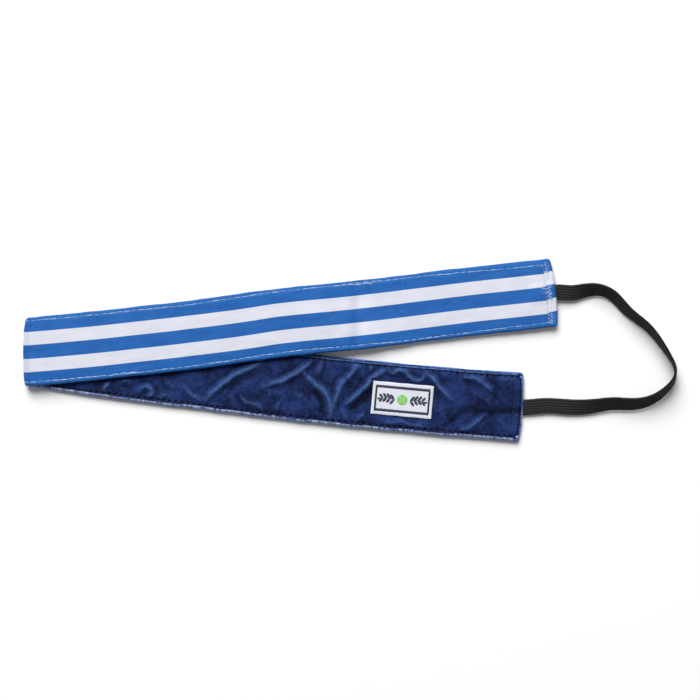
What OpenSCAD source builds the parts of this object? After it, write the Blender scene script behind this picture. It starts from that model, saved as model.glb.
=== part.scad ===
// Sports headband: a printed ribbon lined with velvet, closed into a loop by a braided elastic.
// The loop is folded flat. The fold stands at the left (-X) and both arms run towards +X,
// the upper arm resting on the lower one. The underside of the lower arm lies on z = 0.
// The origin is on that underside, in the middle of the band, where the fold begins.

/* [Band] */
// Width of the printed ribbon
band_w = 25.4; // [24:0.1:27]
// Length of the upper arm along its chord, from the fold axis to its end
upper_len = 195.3; // [190:0.1:200]
// Length of the lower arm along its chord, from the fold axis to its end
lower_len = 183.2; // [178:0.1:188]
// Angle of the upper arm from the X axis in plan
upper_angle = 6.45; // [6:0.05:7]
// Angle of the lower arm from the X axis in plan, on the other side
lower_angle = 6.41; // [6:0.05:7]
// Sideways bow of the lower arm at its middle
lower_bow = 1.8; // [0.5:0.1:3]
// Sideways bow of the upper arm at its middle
upper_bow = 0.3; // [0.1:0.1:1]

/* [Layers] */
// Thickness of the printed face ribbon
face_t = 0.45; // [0.35:0.05:0.6]
// Thickness of the velvet lining, backing and pile together
velvet_t = 1.35; // [1.25:0.05:1.6]
// Width of the face ribbon's edge where it rolls up round the lining
rim_w = 0.9; // [0.6:0.1:1.1]
// Width of the face ribbon's rolled end
end_w = 1.7; // [1.2:0.1:2.2]
// Air gap between the two arms
arm_gap = 0.3; // [0.2:0.05:0.5]
// Distance from the origin back to the fold's axis
fold_back = 1; // [0.5:0.1:2]
// Clearance between the fold and the upper arm
fold_gap = 0.05; // [0.02:0.01:0.1]

/* [Stitching] */
// Distance of the long topstitch rows from the band's edges
seam_in = 1.5; // [1.3:0.1:2]
// Distance of the hem seam from each end of the band
hem_in = 3.2; // [2.6:0.1:4]
// Width of one thread
thread_w = 0.35; // [0.25:0.05:0.5]
// Depth that a thread sinks into the cloth
thread_d = 0.2; // [0.1:0.05:0.3]

/* [Elastic] */
// Width of the braided elastic
elastic_w = 5.75; // [5:0.25:7]
// Thickness of the braided elastic
elastic_t = 1.0; // [0.8:0.1:1]
// Length of elastic sewn in at each end of the band
tail_len = 9; // [7:0.5:12]
// Length of elastic that stays straight outside each end
lead_out = 0.9; // [0.5:0.1:1.5]
// Half of the open cut at the far point of the elastic loop
apex_gap = 0.6; // [0.5:0.05:0.9]
// Reach of the elastic loop past the end of the upper arm
loop_reach = 45; // [43:0.5:47]

/* [Label] */
// Length of the woven label
label_l = 22.4; // [18:0.1:26]
// Width of the woven label
label_w = 12.2; // [10:0.1:14]
// Thickness of the woven label
label_t = 0.35; // [0.3:0.05:0.5]
// Position of the label's centre along X
label_x = 137.35; // [120:0.05:150]
// Sideways offset of the label's centre from the lower arm's centre line
label_off = -0.95; // [-2:0.05:2]

/* [Hidden] */
$fn = 64;
n = 24;                                   // steps along a bowed arm
arm_t = face_t + velvet_t;                // thickness of one arm
z_up = arm_t + arm_gap;                   // underside of the upper arm
top = z_up + arm_t;                       // top of the folded band
fold_r = top/2;                           // outer radius of the fold
core_r = arm_gap/2;                       // inner radius of the fold
row = band_w/2 - seam_in;                 // topstitch rows, from the centre line

// An arm in plan: a chord of length L at angle a from the fold axis, with a sideways bow b.
function heading(u, L, a, b) = a + atan(4*b*(1 - 2*u)/L);
function mid(u, L, a, b) = let(s = L*u, d = 4*b*u*(1 - u))
    [s*cos(a) - d*sin(a) - fold_back, s*sin(a) + d*cos(a)];
// A point at sideways distance o from the centre line. At u = 0 the arm is cut square to X, at the fold.
function at(u, o, L, a, b, g) = u <= 0
    ? [g - fold_back, o/cos(heading(0, L, a, b)) + g*tan(heading(0, L, a, b))]
    : let(h = heading(u, L, a, b)) mid(u, L, a, b) + o*[-sin(h), cos(h)];
function strip(u0, u1, o0, o1, L, a, b, g) = concat(
    [for (i = [0:n]) at(u0 + (u1 - u0)*i/n, o0, L, a, b, g)],
    [for (i = [n:-1:0]) at(u0 + (u1 - u0)*i/n, o1, L, a, b, g)]);

module layer(z0, z1, pts) { translate([0, 0, z0]) linear_extrude(height = z1 - z0) polygon(pts); }
module lower_strip(z0, z1, u0, u1, o0, o1)
    layer(z0, z1, strip(u0, u1, o0, o1, lower_len, -lower_angle, -lower_bow, 0));
module upper_strip(z0, z1, u0, u1, o0, o1)
    layer(z0, z1, strip(u0, u1, o0, o1, upper_len, upper_angle, -upper_bow, fold_gap));

// A half ring of the fold, between two radii, from y0 to y1.
module fold_ring(r0, r1, y0, y1)
    translate([-fold_back, y1, fold_r]) rotate([90, 0, 0])
        rotate_extrude(angle = 180, start = 90) translate([r0, 0]) square([r1 - r0, y1 - y0]);

// The face ribbon round the fold: its channel section with the two thread grooves, turned through half a circle.
// Points are [radius, sideways] on one side of the centre line; the other side mirrors them.
module fold_channel() {
    w = band_w/2*cy;
    side = [[fold_r - face_t, w - rim_w*cy], [core_r, w - rim_w*cy], [core_r, w], [fold_r, w],
        [fold_r, (row + thread_w/2)*cy], [fold_r - thread_d, (row + thread_w/2)*cy],
        [fold_r - thread_d, (row - thread_w/2)*cy], [fold_r, (row - thread_w/2)*cy]];
    translate([-fold_back, 0, fold_r]) rotate([90, 0, 0]) rotate_extrude(angle = 180, start = 90)
        polygon(concat(side, [for (i = [7:-1:0]) [side[i][0], -side[i][1]]]));
}

// Places children at the end of an arm, with local X along the arm, pointing out of its end.
module at_lower_end() translate(concat(mid(1, lower_len, -lower_angle, -lower_bow), [0]))
    rotate([0, 0, heading(1, lower_len, -lower_angle, -lower_bow)]) children();
module at_upper_end() translate(concat(mid(1, upper_len, upper_angle, -upper_bow), [0]))
    rotate([0, 0, heading(1, upper_len, upper_angle, -upper_bow)]) children();

cy = 1/cos(heading(0, lower_len, -lower_angle, -lower_bow));   // width factor of the square cut at the fold
u_low = 1 - end_w/lower_len;
u_up = 1 - end_w/upper_len;
u_low_seam = 1 - 0.8*hem_in/lower_len;
u_up_seam = 1 - 0.8*hem_in/upper_len;

// The elastic's straight tail, on local X, through the rolled end of an arm.
module tail(z0) translate([-tail_len, -elastic_w/2, z0]) cube([tail_len + lead_out, elastic_w, elastic_t]);
// Seam across an end, at height z0, broken where the two long rows cross it.
module hem(z0) translate([-hem_in - thread_w/2, -row + 0.6, z0]) cube([thread_w, 2*row - 1.2, thread_d]);
// Bar tack over the elastic: short bars side by side, beyond the hem seam.
module tack(z0) for (k = [0:3])
    translate([-hem_in - 1.3 - 0.9*k, -elastic_w/2 - 0.4, z0]) cube([thread_w, elastic_w + 0.8, thread_d]);

// Both long rows of an arm's stitching.
module lower_rows(z0, z1, u1) for (s = [-1, 1])
    lower_strip(z0, z1, 0, u1, s*row - thread_w/2, s*row + thread_w/2);
module upper_rows(z0, z1, u1) for (s = [-1, 1])
    upper_strip(z0, z1, 0, u1, s*row - thread_w/2, s*row + thread_w/2);
module fold_rows(r0, r1) for (s = [-1, 1])
    fold_ring(r0, r1, (s*row - thread_w/2)*cy, (s*row + thread_w/2)*cy);

// Label frame: local X along the label, on top of the lower arm's lining.
label_u = (label_x + fold_back)/(lower_len*cos(lower_angle));
module at_label() {
    h = heading(label_u, lower_len, -lower_angle, -lower_bow);
    p = mid(label_u, lower_len, -lower_angle, -lower_bow) + label_off*[-sin(h), cos(h)];
    translate([p[0], p[1], arm_t]) rotate([0, 0, h]) children();
}

// Printed satin ribbon: flat face, edges and end rolled up round the lining, and the turn of the fold.
module lower_face_ribbon() color([0.19, 0.40, 0.70]) {
    difference() {
        lower_strip(0, arm_t, 0, 1, -band_w/2, band_w/2);
        lower_strip(face_t, arm_t + 1, 0, u_low, -band_w/2 + rim_w, band_w/2 - rim_w);
        at_lower_end() { tail(face_t); hem(0); tack(0); }
        lower_rows(-1, thread_d, u_low_seam);
    }
    fold_channel();
}

module upper_face_ribbon() color([0.19, 0.40, 0.70]) difference() {
    upper_strip(z_up, top, 0, 1, -band_w/2, band_w/2);
    upper_strip(z_up - 1, top - face_t, 0, u_up, -band_w/2 + rim_w, band_w/2 - rim_w);
    upper_rows(top - thread_d, top + 1, u_up_seam);
    at_upper_end() { tail(top - face_t - elastic_t); hem(top - thread_d); tack(top - thread_d); }
}

// Velvet lining: fills the channel of the face ribbon, with a pocket for the elastic's tail.
module lower_velvet_lining() color([0.15, 0.18, 0.36]) difference() {
    union() {
        lower_strip(face_t, arm_t, 0, u_low, -band_w/2 + rim_w, band_w/2 - rim_w);
        fold_ring(core_r, fold_r - face_t, -(band_w/2 - rim_w)*cy, (band_w/2 - rim_w)*cy);
    }
    at_lower_end() tail(face_t);
    lower_rows(arm_t - thread_d, arm_t + 1, u_low_seam);
    fold_rows(core_r - 0.05, core_r + thread_d);
}

module upper_velvet_lining() color([0.15, 0.18, 0.36]) difference() {
    upper_strip(z_up, top - face_t, 0, u_up, -band_w/2 + rim_w, band_w/2 - rim_w);
    at_upper_end() tail(top - face_t - elastic_t);
    upper_rows(z_up - 1, z_up + thread_d, u_up_seam);
}

// Braided elastic: the tails are sewn between face and lining.
module elastic_upper_tail() color([0.13, 0.13, 0.14]) at_upper_end() tail(top - face_t - elastic_t);
module elastic_lower_tail() color([0.13, 0.13, 0.14]) at_lower_end() tail(face_t);

// The free run of the elastic turns over by half a turn between the two ends, and stands on edge
// at the far point. Way points are [x, y, height of centre, twist], from each end of the band.
end_u = concat(mid(1, upper_len, upper_angle, -upper_bow), [0]);
end_l = concat(mid(1, lower_len, -lower_angle, -lower_bow), [0]);
dir_u = heading(1, upper_len, upper_angle, -upper_bow);
dir_l = heading(1, lower_len, -lower_angle, -lower_bow);
z_u = top - face_t - elastic_t/2;
z_l = face_t + elastic_t/2;
stand = elastic_w/2 + 0.27;               // centre height where the elastic stands on edge
far = [end_u[0] + loop_reach, (end_u[1] + end_l[1])/2 - 7.7, stand, 98];
function out(e, d, s, z, t) = [e[0] + s*cos(d), e[1] + s*sin(d), z, t];
function way(e, x, y, z, t) = [e[0] + x, e[1] + y, z, t];
way_u = [out(end_u, dir_u, lead_out + 0.05, z_u, 0), out(end_u, dir_u, 3.5, z_u - 0.05, 1),
         way(end_u, 11.5, 0.9, 2.45, 22), way(end_u, 17, 1.1, 2.45, 44), way(end_u, 22, -1.6, 2.7, 55),
         way(end_u, 34.2, -12.5, stand - 0.1, 69), way(end_u, 41.8, -22, stand, 86), far];
way_l = [far, way(end_l, 54, 7, stand - 0.12, 117), way(end_l, 45.4, 1.7, 2.65, 136),
         way(end_l, 33.9, 1.3, 2.2, 148), way(end_l, 26, 0.7, 1.75, 159), way(end_l, 17, 0.1, 1.2, 175),
         out(end_l, dir_l, 4, z_l + 0.02, 179), out(end_l, dir_l, lead_out + 0.05, z_l, 180)];

// Catmull-Rom curve through a list of way points p, at parameter t from 0 to len(p) - 1.
function clampi(i, m) = max(0, min(m, i));
function curve(p, t) = let(m = len(p) - 1, i = clampi(floor(t), m - 1), f = t - i,
    a = p[clampi(i - 1, m)], b = p[i], c = p[i + 1], d = p[clampi(i + 2, m)])
    0.5*(2*b + (c - a)*f + (2*a - 5*b + 4*c - d)*f*f + (3*b - a - 3*c + d)*f*f*f);
function xyz(v) = [v[0], v[1], v[2]];
function unit(v) = v/norm(v);
function along(p, t) = let(m = len(p) - 1)
    unit(xyz(curve(p, min(m, t + 0.02))) - xyz(curve(p, max(0, t - 0.02))));
// The four corners of the elastic's section at parameter t.
function section(p, t) = let(q = curve(p, t), e = along(p, t), side = unit(cross([0, 0, 1], e)),
    up = cross(e, side), w = side*cos(q[3]) + up*sin(q[3]), h = cross(e, w))
    [for (k = [[-1, -1], [1, -1], [1, 1], [-1, 1]]) xyz(q) + w*k[0]*elastic_w/2 + h*k[1]*elastic_t/2];
module ribbon_run(p, t0, t1, steps) {
    pts = [for (i = [0:steps]) each section(p, t0 + (t1 - t0)*i/steps)];
    quads = [for (i = [0:steps - 1], k = [0:3]) let(a = 4*i + k, b = 4*i + (k + 1)%4) [a, b, b + 4, a + 4]];
    polyhedron(points = pts, faces = concat([[3, 2, 1], [3, 1, 0]],
        [for (q = quads) [q[0], q[1], q[2]]], [for (q = quads) [q[0], q[2], q[3]]],
        [[4*steps, 4*steps + 1, 4*steps + 2], [4*steps, 4*steps + 2, 4*steps + 3]]), convexity = 6);
}
cut_u = apex_gap/norm(xyz(way_u[7]) - xyz(way_u[6]));
cut_l = apex_gap/norm(xyz(way_l[1]) - xyz(way_l[0]));
module elastic_upper_run() color([0.13, 0.13, 0.14]) ribbon_run(way_u, 0, 7 - cut_u, 56);
module elastic_lower_run() color([0.13, 0.13, 0.14]) ribbon_run(way_l, cut_l, 7, 56);

// Lockstitch threads. Each row is one continuous thread that lies in the groove it pulls in the cloth.
module lower_face_topstitch() color([0.52, 0.68, 0.84]) {
    lower_rows(0, thread_d, u_low_seam);
    fold_rows(fold_r - thread_d, fold_r);
}
module lower_lining_topstitch() color([0.12, 0.14, 0.27]) {
    lower_rows(arm_t - thread_d, arm_t, u_low_seam);
    fold_rows(core_r, core_r + thread_d);
}
module upper_face_topstitch() color([0.52, 0.68, 0.84]) upper_rows(top - thread_d, top, u_up_seam);
module upper_lining_topstitch() color([0.12, 0.14, 0.27]) upper_rows(z_up, z_up + thread_d, u_up_seam);
module lower_hem_seam() color([0.52, 0.68, 0.84]) at_lower_end() hem(0);
module upper_hem_seam() color([0.52, 0.68, 0.84]) at_upper_end() hem(top - thread_d);
module lower_bar_tack() color([0.52, 0.68, 0.84]) at_lower_end() tack(0);
module upper_bar_tack() color([0.52, 0.68, 0.84]) at_upper_end() tack(top - thread_d);

// Woven label on the lining, sewn down along its two short sides.
module label_rows(z0) for (s = [-1, 1])
    translate([s*(label_l/2 - 1) - thread_w/2, -label_w/2 + 0.5, z0]) cube([thread_w, label_w - 1, 0.15]);
module woven_label() color([0.92, 0.93, 0.95]) at_label() difference() {
    translate([-label_l/2, -label_w/2, 0]) cube([label_l, label_w, label_t]);
    label_rows(label_t - 0.15);
}
module label_stitch() color([0.16, 0.19, 0.28]) at_label() label_rows(label_t - 0.15);

lower_face_ribbon();
upper_face_ribbon();
lower_velvet_lining();
upper_velvet_lining();
elastic_upper_tail();
elastic_upper_run();
elastic_lower_tail();
elastic_lower_run();
lower_face_topstitch();
lower_lining_topstitch();
upper_face_topstitch();
upper_lining_topstitch();
lower_hem_seam();
upper_hem_seam();
lower_bar_tack();
upper_bar_tack();
woven_label();
label_stitch();
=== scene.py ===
import math

import bpy
import bmesh
import numpy as np
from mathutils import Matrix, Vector


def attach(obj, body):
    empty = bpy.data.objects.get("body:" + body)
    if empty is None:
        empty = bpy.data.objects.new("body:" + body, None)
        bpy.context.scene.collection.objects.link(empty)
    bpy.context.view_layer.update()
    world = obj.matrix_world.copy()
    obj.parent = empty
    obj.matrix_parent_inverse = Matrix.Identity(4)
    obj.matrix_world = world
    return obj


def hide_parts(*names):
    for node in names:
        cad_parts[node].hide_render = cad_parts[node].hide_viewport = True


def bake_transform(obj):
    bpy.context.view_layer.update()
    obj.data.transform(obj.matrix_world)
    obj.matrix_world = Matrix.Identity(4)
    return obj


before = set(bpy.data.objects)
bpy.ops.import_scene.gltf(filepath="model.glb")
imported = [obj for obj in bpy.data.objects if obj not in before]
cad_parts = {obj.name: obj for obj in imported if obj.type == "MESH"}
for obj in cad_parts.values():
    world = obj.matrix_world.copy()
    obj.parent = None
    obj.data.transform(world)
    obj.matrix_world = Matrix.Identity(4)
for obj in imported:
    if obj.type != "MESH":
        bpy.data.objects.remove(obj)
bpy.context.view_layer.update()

scene = bpy.context.scene
RNG = np.random.default_rng(11)


# ------------------------------------------------------------------ helpers
def sstep(t):
    t = np.clip(t, 0, 1)
    return t * t * (3 - 2 * t)


def bumpf(x, c, w):
    return np.exp(-(((x - c) / w) ** 2))


def spline(xs, ys):
    """Cubic through (xs, ys) with continuous slope; linear past the ends. ys may have several columns."""
    xs = np.asarray(xs, float)
    ys = np.asarray(ys, float)
    flat = ys.ndim == 1
    if flat:
        ys = ys[:, None]
    n = len(xs)
    h = np.diff(xs)
    A = np.zeros((n, n))
    R = np.zeros((n, ys.shape[1]))
    A[0, 0] = A[-1, -1] = 1
    for i in range(1, n - 1):
        A[i, i - 1], A[i, i], A[i, i + 1] = h[i - 1], 2 * (h[i - 1] + h[i]), h[i]
        R[i] = 6 * ((ys[i + 1] - ys[i]) / h[i] - (ys[i] - ys[i - 1]) / h[i - 1])
    M = np.linalg.solve(A, R)

    def f(x):
        x = np.asarray(x, float)
        i = np.clip(np.searchsorted(xs, x) - 1, 0, n - 2)
        a = (x - xs[i])[..., None]
        b = h[i][..., None] - a
        hi = h[i][..., None]
        y = (
            M[i] * b**3 / (6 * hi)
            + M[i + 1] * a**3 / (6 * hi)
            + (ys[i] / hi - M[i] * hi / 6) * b
            + (ys[i + 1] / hi - M[i + 1] * hi / 6) * a
        )
        return y[..., 0] if flat else y

    return f


def wobble(seed, step):
    """A smooth random function of one coordinate, about -1 to 1, with features about step long."""
    r = np.random.default_rng(seed)
    v = r.uniform(-1, 1, 4096)

    def f(x):
        x = np.asarray(x, float) / step + 512
        i = np.floor(x).astype(int)
        t = x - i
        t = t * t * (3 - 2 * t)
        return v[i % 4096] * (1 - t) + v[(i + 1) % 4096] * t

    return f


def wobble2(seed, sx, sy):
    """A smooth random function of two coordinates, about -1 to 1."""
    r = np.random.default_rng(seed)
    v = r.uniform(-1, 1, (256, 256))

    def f(x, y):
        x = np.asarray(x, float) / sx + 64
        y = np.asarray(y, float) / sy + 64
        i, j = np.floor(x).astype(int), np.floor(y).astype(int)
        s, t = x - i, y - j
        s, t = s * s * (3 - 2 * s), t * t * (3 - 2 * t)
        g = lambda a, b: v[a % 256, b % 256]
        return (g(i, j) * (1 - s) + g(i + 1, j) * s) * (1 - t) + (
            g(i, j + 1) * (1 - s) + g(i + 1, j + 1) * s
        ) * t

    return f


def cad_mm(node):
    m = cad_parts[node].data
    co = np.empty(len(m.vertices) * 3)
    m.vertices.foreach_get("co", co)
    return co.reshape(-1, 3) * 1000


def add_mesh(name, verts_mm, faces, uv=None, attrs=None, sharp=40, fix=True):
    """A mesh object from points in millimetres. uv and attrs are per vertex."""
    me = bpy.data.meshes.new(name)
    me.from_pydata((np.asarray(verts_mm) * 0.001).tolist(), [], faces)
    me.update()
    ob = bpy.data.objects.new(name, me)
    scene.collection.objects.link(ob)
    if uv is not None:
        lay = me.uv_layers.new(name="UVMap")
        idx = np.empty(len(me.loops), np.int32)
        me.loops.foreach_get("vertex_index", idx)
        lay.data.foreach_set("uv", np.asarray(uv, np.float32)[idx].ravel())
    for k, v in (attrs or {}).items():
        a = me.attributes.new(k, "FLOAT", "POINT")
        a.data.foreach_set("value", np.asarray(v, np.float32))
    if fix:
        bm = bmesh.new()
        bm.from_mesh(me)
        bmesh.ops.recalc_face_normals(bm, faces=bm.faces)
        bm.to_mesh(me)
        bm.free()
    me.polygons.foreach_set("use_smooth", [True] * len(me.polygons))
    if sharp:
        me.set_sharp_from_angle(angle=math.radians(sharp))
    me.update()
    return ob


def ring_faces(I, J, base=0):
    f = []
    for i in range(I - 1):
        a, b = base + i * J, base + (i + 1) * J
        for j in range(J):
            k = (j + 1) % J
            f.append((a + j, a + k, b + k, b + j))
    f.append(tuple(base + j for j in range(J)))
    f.append(tuple(base + (I - 1) * J + j for j in reversed(range(J))))
    return f


def plate_faces(I, J):
    """A closed plate: top grid, then bottom grid, joined round the edge."""
    n = I * J
    f = []
    for i in range(I - 1):
        for j in range(J - 1):
            a, b, c, d = i * J + j, i * J + j + 1, (i + 1) * J + j + 1, (i + 1) * J + j
            f.append((a, b, c, d))
            f.append((n + d, n + c, n + b, n + a))
    for i in range(I - 1):
        a, d = i * J, (i + 1) * J
        f.append((a, d, n + d, n + a))
        a, d = i * J + J - 1, (i + 1) * J + J - 1
        f.append((d, a, n + a, n + d))
    for j in range(J - 1):
        a, b = j, j + 1
        f.append((b, a, n + a, n + b))
        a, b = (I - 1) * J + j, (I - 1) * J + j + 1
        f.append((a, b, n + b, n + a))
    return f


# ------------------------------------------------------------------ the frame's sizes, read from the CAD
ORIGIN = np.array([-1.0, 0.0])  # the fold's axis in plan
lf = cad_mm("lower_face_ribbon")
uf = cad_mm("upper_face_ribbon")
lv = cad_mm("lower_velvet_lining")
TOP = float(uf[:, 2].max())
FOLD_R = float(lf[:, 2].max()) / 2
ARM_T = float(lv[lv[:, 0] > 20][:, 2].max())
FACE_T = float(lv[lv[:, 0] > 20][:, 2].min())
CORE_R = FOLD_R - ARM_T
Z_UP = TOP - ARM_T
ORIGIN[0] = float(lf[:, 0].min()) + FOLD_R
RM = CORE_R + ARM_T / 2
FOLD_S = math.pi * RM


def arm_end(p, rough):
    d = np.array(rough, float)
    d /= np.linalg.norm(d)
    p = p[:, :2]
    for _ in range(4):
        t = p @ d
        sel = p[t > t.max() - 0.5]
        nrm = np.array([-d[1], d[0]])
        o = sel @ nrm
        a, b = sel[o.argmin()], sel[o.argmax()]
        e = (b - a) / np.linalg.norm(b - a)
        d = np.array([e[1], -e[0]])
    return (a + b) / 2, d, float(np.linalg.norm(b - a))


END_U, DIR_U, W_U = arm_end(uf, (1, 0.11))
END_L, DIR_L, W_L = arm_end(lf, (1, -0.08))
HW = W_U / 2
RIM = 0.9
RB = ARM_T / 2  # radius of the rolled edge


class Arm:
    """An arm in plan: a centre line from the fold to its end, with sideways drifts."""

    def __init__(self, end, dev):
        dev = np.array(dev, float)
        X = np.linspace(ORIGIN[0], end[0], 3000)
        chord = ORIGIN[1] + (end[1] - ORIGIN[1]) * (X - ORIGIN[0]) / (end[0] - ORIGIN[0])
        Y = chord + spline(dev[:, 0] * (end[0] - ORIGIN[0]) + ORIGIN[0], dev[:, 1])(X)
        P = np.c_[X, Y]
        S = np.r_[0, np.cumsum(np.linalg.norm(np.diff(P, axis=0), axis=1))]
        self.L = float(S[-1])
        T = np.gradient(P, S, axis=0)
        k = 61
        pad = np.pad(T, ((k // 2, k // 2), (0, 0)), mode="edge")
        T = np.c_[[np.convolve(pad[:, c], np.ones(k) / k, "valid") for c in (0, 1)]].T
        T /= np.linalg.norm(T, axis=1)[:, None]
        self.S, self.P, self.T = S, P, T
        self.t0 = T[0]

    def plan(self, s, o):
        s = s + 0.9 * (1 - (np.abs(o) / HW) ** 3) * sstep((s - (self.L - 8)) / 8)
        sc = np.clip(s, 0, self.L)
        C = np.stack([np.interp(sc, self.S, self.P[:, k]) for k in (0, 1)], -1)
        T = np.stack([np.interp(sc, self.S, self.T[:, k]) for k in (0, 1)], -1)
        T /= np.linalg.norm(T, axis=-1, keepdims=True)
        C = C + T * (s - sc)[..., None]
        N = np.stack([-T[..., 1], T[..., 0]], -1)
        shear = (1 - sstep(s / 26)) * self.t0[1] / self.t0[0]
        xy = C + N * o[..., None] + T * (o * shear)[..., None]
        xy[..., 0] += fold_edge(o) * (1 - sstep(s / 9))
        return xy


def fold_edge(o):
    """The fold's edge isn't quite straight: it eases back at its two corners."""
    return np.interp(o, [-HW, -HW * 0.7, 0, HW * 0.6, HW * 0.9, HW], [0.55, 0.12, -0.12, 0.1, 0.75, 1.25])


UP = Arm(END_U, [(0, 0), (0.058, -0.36), (0.135, -0.56), (0.23, -0.64), (0.325, -0.6), (0.42, -0.08), (0.515, 0.1),
                 (0.61, -0.15), (0.71, -0.1), (0.8, 0.12), (0.9, 0.03), (1, 0)])
LO = Arm(END_L, [(0, 0), (0.143, -0.95), (0.347, -1.45), (0.55, -1.86), (0.755, -1.52), (0.877, -0.92), (0.958, -0.34), (1, 0)])


# ------------------------------------------------------------------ relief of the cloth
pucker_u = [wobble(31, 3.1), wobble(32, 2.3)]
pucker_l = [wobble(33, 2.7), wobble(34, 3.3)]
longwave = wobble(35, 24)
crossn = wobble2(36, 9, 6)
finen = wobble2(37, 2.2, 1.6)
ROW = HW - 1.5
HEM = 3.2
PITCH = 2.25


def row_pos(which, side, s):
    """Sideways place of a long topstitch row: it drifts a little, as a hand-guided seam does."""
    seed = {("u", 1): 41, ("u", -1): 42, ("l", 1): 43, ("l", -1): 44}[(which, side)]
    w1, w2 = wobble(seed, 19), wobble(seed + 10, 6)
    inset = {
        ("u", 1): ([0, 60, 110, 125, 138, 150, 165, 180, 190], [1.4, 1.5, 1.2, 1.35, 1.15, 1.45, 1.9, 2.2, 2.3]),
        ("u", -1): ([0, 25, 40, 50, 75, 95, 110, 125, 135, 160, 178, 190], [1.55, 1.45, 1.1, 1.4, 1.5, 1.7, 1.85, 1.5, 1.1, 1.2, 1.7, 1.85]),
        ("l", 1): ([0, 190], [1.3, 1.35]),
        ("l", -1): ([0, 190], [1.6, 1.65]),
    }[(which, side)]
    return side * (HW - np.interp(s, *inset) - 0.12 * w1(s) - 0.07 * w2(s))


def face_top(which, arm, s, o):
    """Height of the face's outer skin above its flat level."""
    L = arm.L
    g = 0.10 * (1 - (o / 11.0) ** 2)
    pk = pucker_u if which == "u" else pucker_l
    for k, side in enumerate((1, -1)):
        c = row_pos(which, side, s)
        d = o - c
        stitch = 0.72 + 0.28 * np.cos(2 * math.pi * s / PITCH)
        on = sstep((L - HEM * 0.8 - s) / 0.6)
        g = g - 0.08 * np.exp(-((d / 0.40) ** 2)) * stitch * on
        g = g + 0.055 * pk[k](s) * np.exp(-(((np.abs(d) - 0.9) / 0.8) ** 2)) * on
    hs = L - HEM + 0.12 * wobble(51, 3)(o)
    g = g - 0.26 * np.exp(-(((s - hs) / 0.32) ** 2))
    g = g + 0.14 * sstep((s - hs) / 0.7)
    g = g + 0.10 * finen(s * 1.4, o) * sstep((s - hs + 0.4) / 0.8)
    # the elastic's sewn-in end shows as a low swelling
    g = g + 0.18 * sstep((s - (L - 9.5)) / 1.5) * np.exp(-((o / 3.6) ** 6))
    g = g + 0.05 * crossn(s, o) + 0.03 * longwave(s)
    if which == "l":
        g = g - 0.36
    else:
        # the low dip where the upper arm comes off the lower one
        g = g - 0.30 * bumpf(s - 0.113 * o, 121.5, 2.6) + 0.12 * bumpf(s - 0.113 * o, 127.5, 3.2)
    return g


Z_END = 0.32  # lowest height that the upper arm's lining comes down to


def up_base(s, o):
    """Height of the upper arm's lining surface: it lies on the lower arm, then comes down to the table."""
    start = 101 - 0.9 * o
    drop = (Z_UP - Z_END) * sstep((s - start) / 34)
    wave = 0.12 * np.sin((s - 118) / 9.5) * sstep((s - 118) / 25)
    end = 0.25 * sstep((s - (UP.L - 22)) / 22)
    return Z_UP - drop + np.maximum(wave, -0.1) + end


def up_map(s, o, h):
    """Upper arm, with the fold at s < 0. h is the height above the lining surface."""
    s, o, h = np.broadcast_arrays(np.asarray(s, float), np.asarray(o, float), np.asarray(h, float))
    sp = np.maximum(s, 0)
    xy = UP.plan(sp, o)
    z = up_base(sp, o) + h
    a = np.minimum(s, 0) / RM
    r = CORE_R + h
    fold = s < 0
    x = np.where(fold, xy[..., 0] + r * np.sin(a), xy[..., 0])
    z = np.where(fold, FOLD_R + r * np.cos(a), z)
    return np.stack([x, xy[..., 1], z], -1)


def lo_map(s, o, h):
    s, o, h = np.broadcast_arrays(np.asarray(s, float), np.asarray(o, float), np.asarray(h, float))
    xy = LO.plan(s, o)
    return np.stack([xy[..., 0], xy[..., 1], np.maximum(ARM_T - h, 0.004)], -1)


# ------------------------------------------------------------------ face ribbon
def face_section():
    """Points round the ribbon's channel section: (o, h, kind, v). v is the distance across the print."""
    pts = []
    e = HW - RB
    half = [e, e - 0.14, e - 0.26, e - 0.36, e - 0.46, e - 0.56, e - 0.66, e - 0.78, e - 0.95, e - 1.25, e - 1.7, e - 2.2]
    rest = list(np.linspace(half[-1] - 0.5, 0, 19))
    top = half + rest
    top = top + [-x for x in reversed(top[:-1])]
    # rolled edge at +o, from the lip under the lining side up to the top
    n = 9
    lip = HW - RB - 0.25
    for k in range(n):
        a = -math.pi / 2 + math.pi * k / n
        pts.append((e + RB * math.cos(a), RB + RB * math.sin(a), 0, e + RB * (math.pi / 2 - a)))
    for o in top:
        pts.append((o, ARM_T, 1, o))
    for k in range(1, n + 1):
        a = math.pi / 2 - math.pi * k / n
        pts.append((-e - RB * math.cos(a), RB + RB * math.sin(a), 0, -e - RB * (math.pi / 2 - a)))
    # lip, step and recess on the lining side
    v = e + RB * math.pi
    pts.append((-lip, 0.03, 0, -v - 0.3))
    pts.append((-lip + 0.05, 0.55, 2, -v - 0.6))
    for o in np.linspace(-lip + 0.1, lip - 0.1, 21):
        pts.append((o, ARM_T - FACE_T, 2, o * 1.02))
    pts.append((lip - 0.05, 0.55, 2, v + 0.6))
    pts.append((lip, 0.03, 0, v + 0.3))
    return np.array(pts)


SEC = face_section()


def print_drift(which, s):
    """The stripes are not printed quite parallel to the ribbon's edges."""
    w = 0.06 * wobble(64, 14)(s)
    if which == "u":
        return np.interp(s, DRIFT[0], DRIFT[1]) + w
    return w


DRIFT = ([0, 30, 45, 60, 76, 84, 92, 112, 132, 150, 170, 195], [0.12, 0.24, 0.30, 0.20, 0.46, 0.40, 0.18, 0.25, 0.28, 0.28, 0.20, 0.26])


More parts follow.
